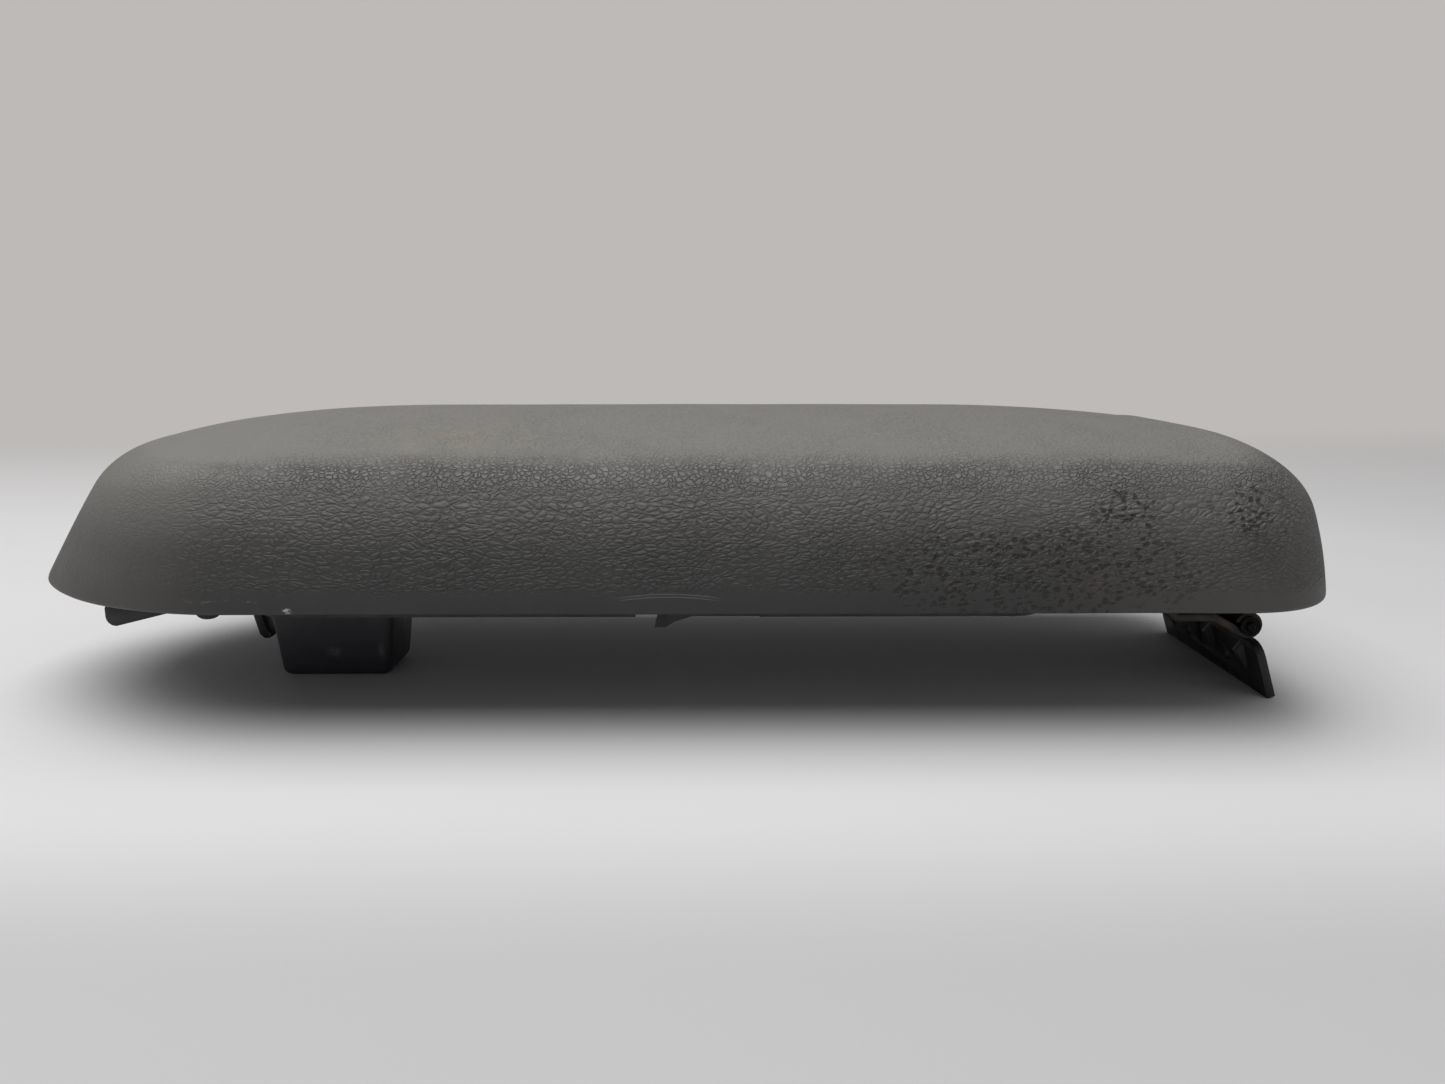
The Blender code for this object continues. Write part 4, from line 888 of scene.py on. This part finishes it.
class ARMREST_OT_latch(Operator):
    """Models the latch: its housing, lever and hook, with the rivet, pin and spring finished as they are"""

    bl_idname = "armrest.latch"
    bl_label = "Latch"

    def execute(self, context):
        hardware = context.scene.armrest_hardware
        # The housing gets painted highlights on its near side
        finish = moulded_plastic("housing_plastic", tuple(hardware.housing), 0.5, highlights=HOUSING_HIGHLIGHTS)
        soft_edged("latch_housing", finish, 0.3 * MM)
        soft_edged("latch_lever", moulded_plastic("lever_plastic", tuple(hardware.lever), 0.45), 0.4 * MM)
        soft_edged("latch_hook", moulded_plastic("hook_plastic", tuple(hardware.hook), 0.5), 0.25 * MM)
        steel = tuple(hardware.steel)
        refinish(bright_steel("pin_steel", steel, 0.3, (1, 0.1, 1)), "latch_pin", "hook_rivet")
        refinish(bright_steel("spring_steel", steel, 0.35, (1, 1, 1)), "latch_spring")
        return {"FINISHED"}


class ARMREST_OT_hinge(Operator):
    """Models the hinge: its leaf, bracket, pin and clips"""

    bl_idname = "armrest.hinge"
    bl_label = "Hinge"

    def execute(self, context):
        hardware = context.scene.armrest_hardware
        soft_edged("hinge_leaf", coated_steel("leaf_steel", tuple(hardware.leaf)), 0.25 * MM)
        finish = moulded_plastic("bracket_plastic", tuple(hardware.bracket), 0.5)
        soft_edged("hinge_bracket", finish, 0.35 * MM)
        steel = bright_steel("hinge_pin_steel", tuple(hardware.pin), 0.45, (1, 0.1, 1))
        low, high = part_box("hinge_pin")
        radius, half = (high.x - low.x) / 2, (high.y - low.y) / 2
        chamfer = radius / 4
        profile = [(radius - chamfer, -half), (radius, chamfer - half), (radius, half - chamfer),
                   (radius - chamfer, half)]
        centre = ((low.x + high.x) / 2, 0, (low.z + high.z) / 2)
        stand_in(settle(turned("hinge_pin_turned", profile), centre, True), "hinge_pin", steel)
        refinish(steel, "pin_clip_near", "pin_clip_far")
        return {"FINISHED"}


def studio_floor():
    """A floor that rises into a backdrop in one wide round."""
    deselect()
    bpy.ops.mesh.primitive_plane_add(size=FLOOR_SIZE, location=(0, FLOOR_Y, CAD_BOX[0].z))
    floor = bpy.context.object
    floor.name = "studio_floor"
    edit(floor, "EDGE")
    bpy.ops.object.mode_set(mode="OBJECT")
    for line in floor.data.edges:
        line.select = all(floor.data.vertices[index].co.y > 0 for index in line.vertices)
    bpy.ops.object.mode_set(mode="EDIT")
    bpy.ops.mesh.extrude_region_move(TRANSFORM_OT_translate={"value": (0, 0, BACKDROP_HEIGHT)})
    bpy.ops.mesh.select_all(action="DESELECT")
    bpy.ops.object.mode_set(mode="OBJECT")
    for line in floor.data.edges:
        ends = [floor.data.vertices[index].co for index in line.vertices]
        line.select = all(end.y > 0 and end.z < 1 for end in ends)
    bpy.ops.object.mode_set(mode="EDIT")
    bpy.ops.mesh.bevel(offset=BACKDROP_ROUND, segments=BACKDROP_STEPS, affect="EDGES")
    bpy.ops.object.mode_set(mode="OBJECT")
    smooth(floor, 60 * DEG)
    only(floor)
    bpy.ops.object.transform_apply(location=True, rotation=True, scale=True)
    return floor


def studio_paper(settings):
    """Pale paper, darker towards the camera, that gives way to the plain backdrop behind the lid."""
    paper = Surface("studio_paper", settings.floor, 0.75)
    uneven = paper.fade(paper.noise(300.0, 3.0), 0.3, 0.7)
    dim = tuple(0.96 * part for part in settings.floor)
    shaded = tuple(0.74 * part for part in settings.floor)
    across = paper.axes(paper.place)[1]
    tone = paper.blend(paper.fade(across, *NEAR_SHADE), paper.blend(uneven, dim, settings.floor), shaded)
    paper.put(paper.shader, "Base Color", tone)
    glow = paper.node("Emission", {}, {"Color": settings.backdrop, "Strength": 1.0})
    seen = paper.node("LightPath", {}, {}).outputs["Is Camera Ray"]
    share = paper.times(paper.fade(across, *FAR_GLOW), seen)
    mixed = paper.node("MixShader", {}, {0: share, 1: paper.shader.outputs[0], 2: glow.outputs[0]})
    paper.put(paper.nodes["Material Output"], "Surface", mixed.outputs[0])
    return paper.material


class ARMREST_OT_stage(Operator):
    """Sets up the floor, the lamp and the camera"""

    bl_idname = "armrest.stage"
    bl_label = "Stage"

    def execute(self, context):
        settings = context.scene.armrest_stage
        floor = studio_floor()
        floor.data.materials.append(studio_paper(settings))

        lamp = bpy.data.lights.new("overhead_lamp", "AREA")
        lamp.shape = "RECTANGLE"
        lamp.size, lamp.size_y = LAMP_SIZE, LAMP_SIZE
        lamp.energy = settings.key
        holder = bpy.data.objects.new("overhead_lamp", lamp)
        holder.location = LAMP_PLACE
        context.scene.collection.objects.link(holder)

        world = bpy.data.worlds.new("studio_room")
        world.use_nodes = True
        room = world.node_tree.nodes["Background"]
        room.inputs["Color"].default_value = SKY_COLOUR
        room.inputs["Strength"].default_value = settings.sky
        context.scene.world = world

        camera = bpy.data.cameras.new("photo_camera")
        camera.sensor_width = 36
        camera.lens = settings.lens
        camera.clip_start = 0.01
        viewer = bpy.data.objects.new("photo_camera", camera)
        viewer.location = settings.place
        viewer.rotation_euler = (90 * DEG - settings.pitch, 0, -settings.turn)
        context.scene.collection.objects.link(viewer)
        context.scene.camera = viewer
        context.scene.view_settings.view_transform = "Standard"
        return {"FINISHED"}


class ARMREST_PT_panel(Panel):
    """Lists the steps that dress the armrest lid"""

    bl_label = "Armrest Lid"
    bl_idname = "ARMREST_PT_panel"
    bl_space_type = "VIEW_3D"
    bl_region_type = "UI"
    bl_category = "Armrest"

    def draw(self, context):
        for step in STEPS:
            self.layout.operator(step.bl_idname)
        scene = context.scene
        for group in (scene.armrest_skin, scene.armrest_hardware, scene.armrest_stage):
            for name in group.__annotations__:
                self.layout.prop(group, name)


STEPS = (
    ARMREST_OT_stage,
    ARMREST_OT_skin,
    ARMREST_OT_foam,
    ARMREST_OT_carrier,
    ARMREST_OT_screws,
    ARMREST_OT_latch,
    ARMREST_OT_hinge,
)
CLASSES = (SkinSettings, HardwareSettings, StageSettings, *STEPS, ARMREST_PT_panel)


def register():
    for each in CLASSES:
        bpy.utils.register_class(each)
    bpy.types.Scene.armrest_skin = PointerProperty(type=SkinSettings)
    bpy.types.Scene.armrest_hardware = PointerProperty(type=HardwareSettings)
    bpy.types.Scene.armrest_stage = PointerProperty(type=StageSettings)


def unregister():
    del bpy.types.Scene.armrest_stage
    del bpy.types.Scene.armrest_hardware
    del bpy.types.Scene.armrest_skin
    for each in reversed(CLASSES):
        bpy.utils.unregister_class(each)


def main():
    register()
    bpy.ops.armrest.stage()
    bpy.ops.armrest.skin()
    bpy.ops.armrest.foam()
    bpy.ops.armrest.carrier()
    bpy.ops.armrest.screws()
    bpy.ops.armrest.latch()
    bpy.ops.armrest.hinge()
    bpy.context.view_layer.update()


if __name__ == "__main__":
    main()
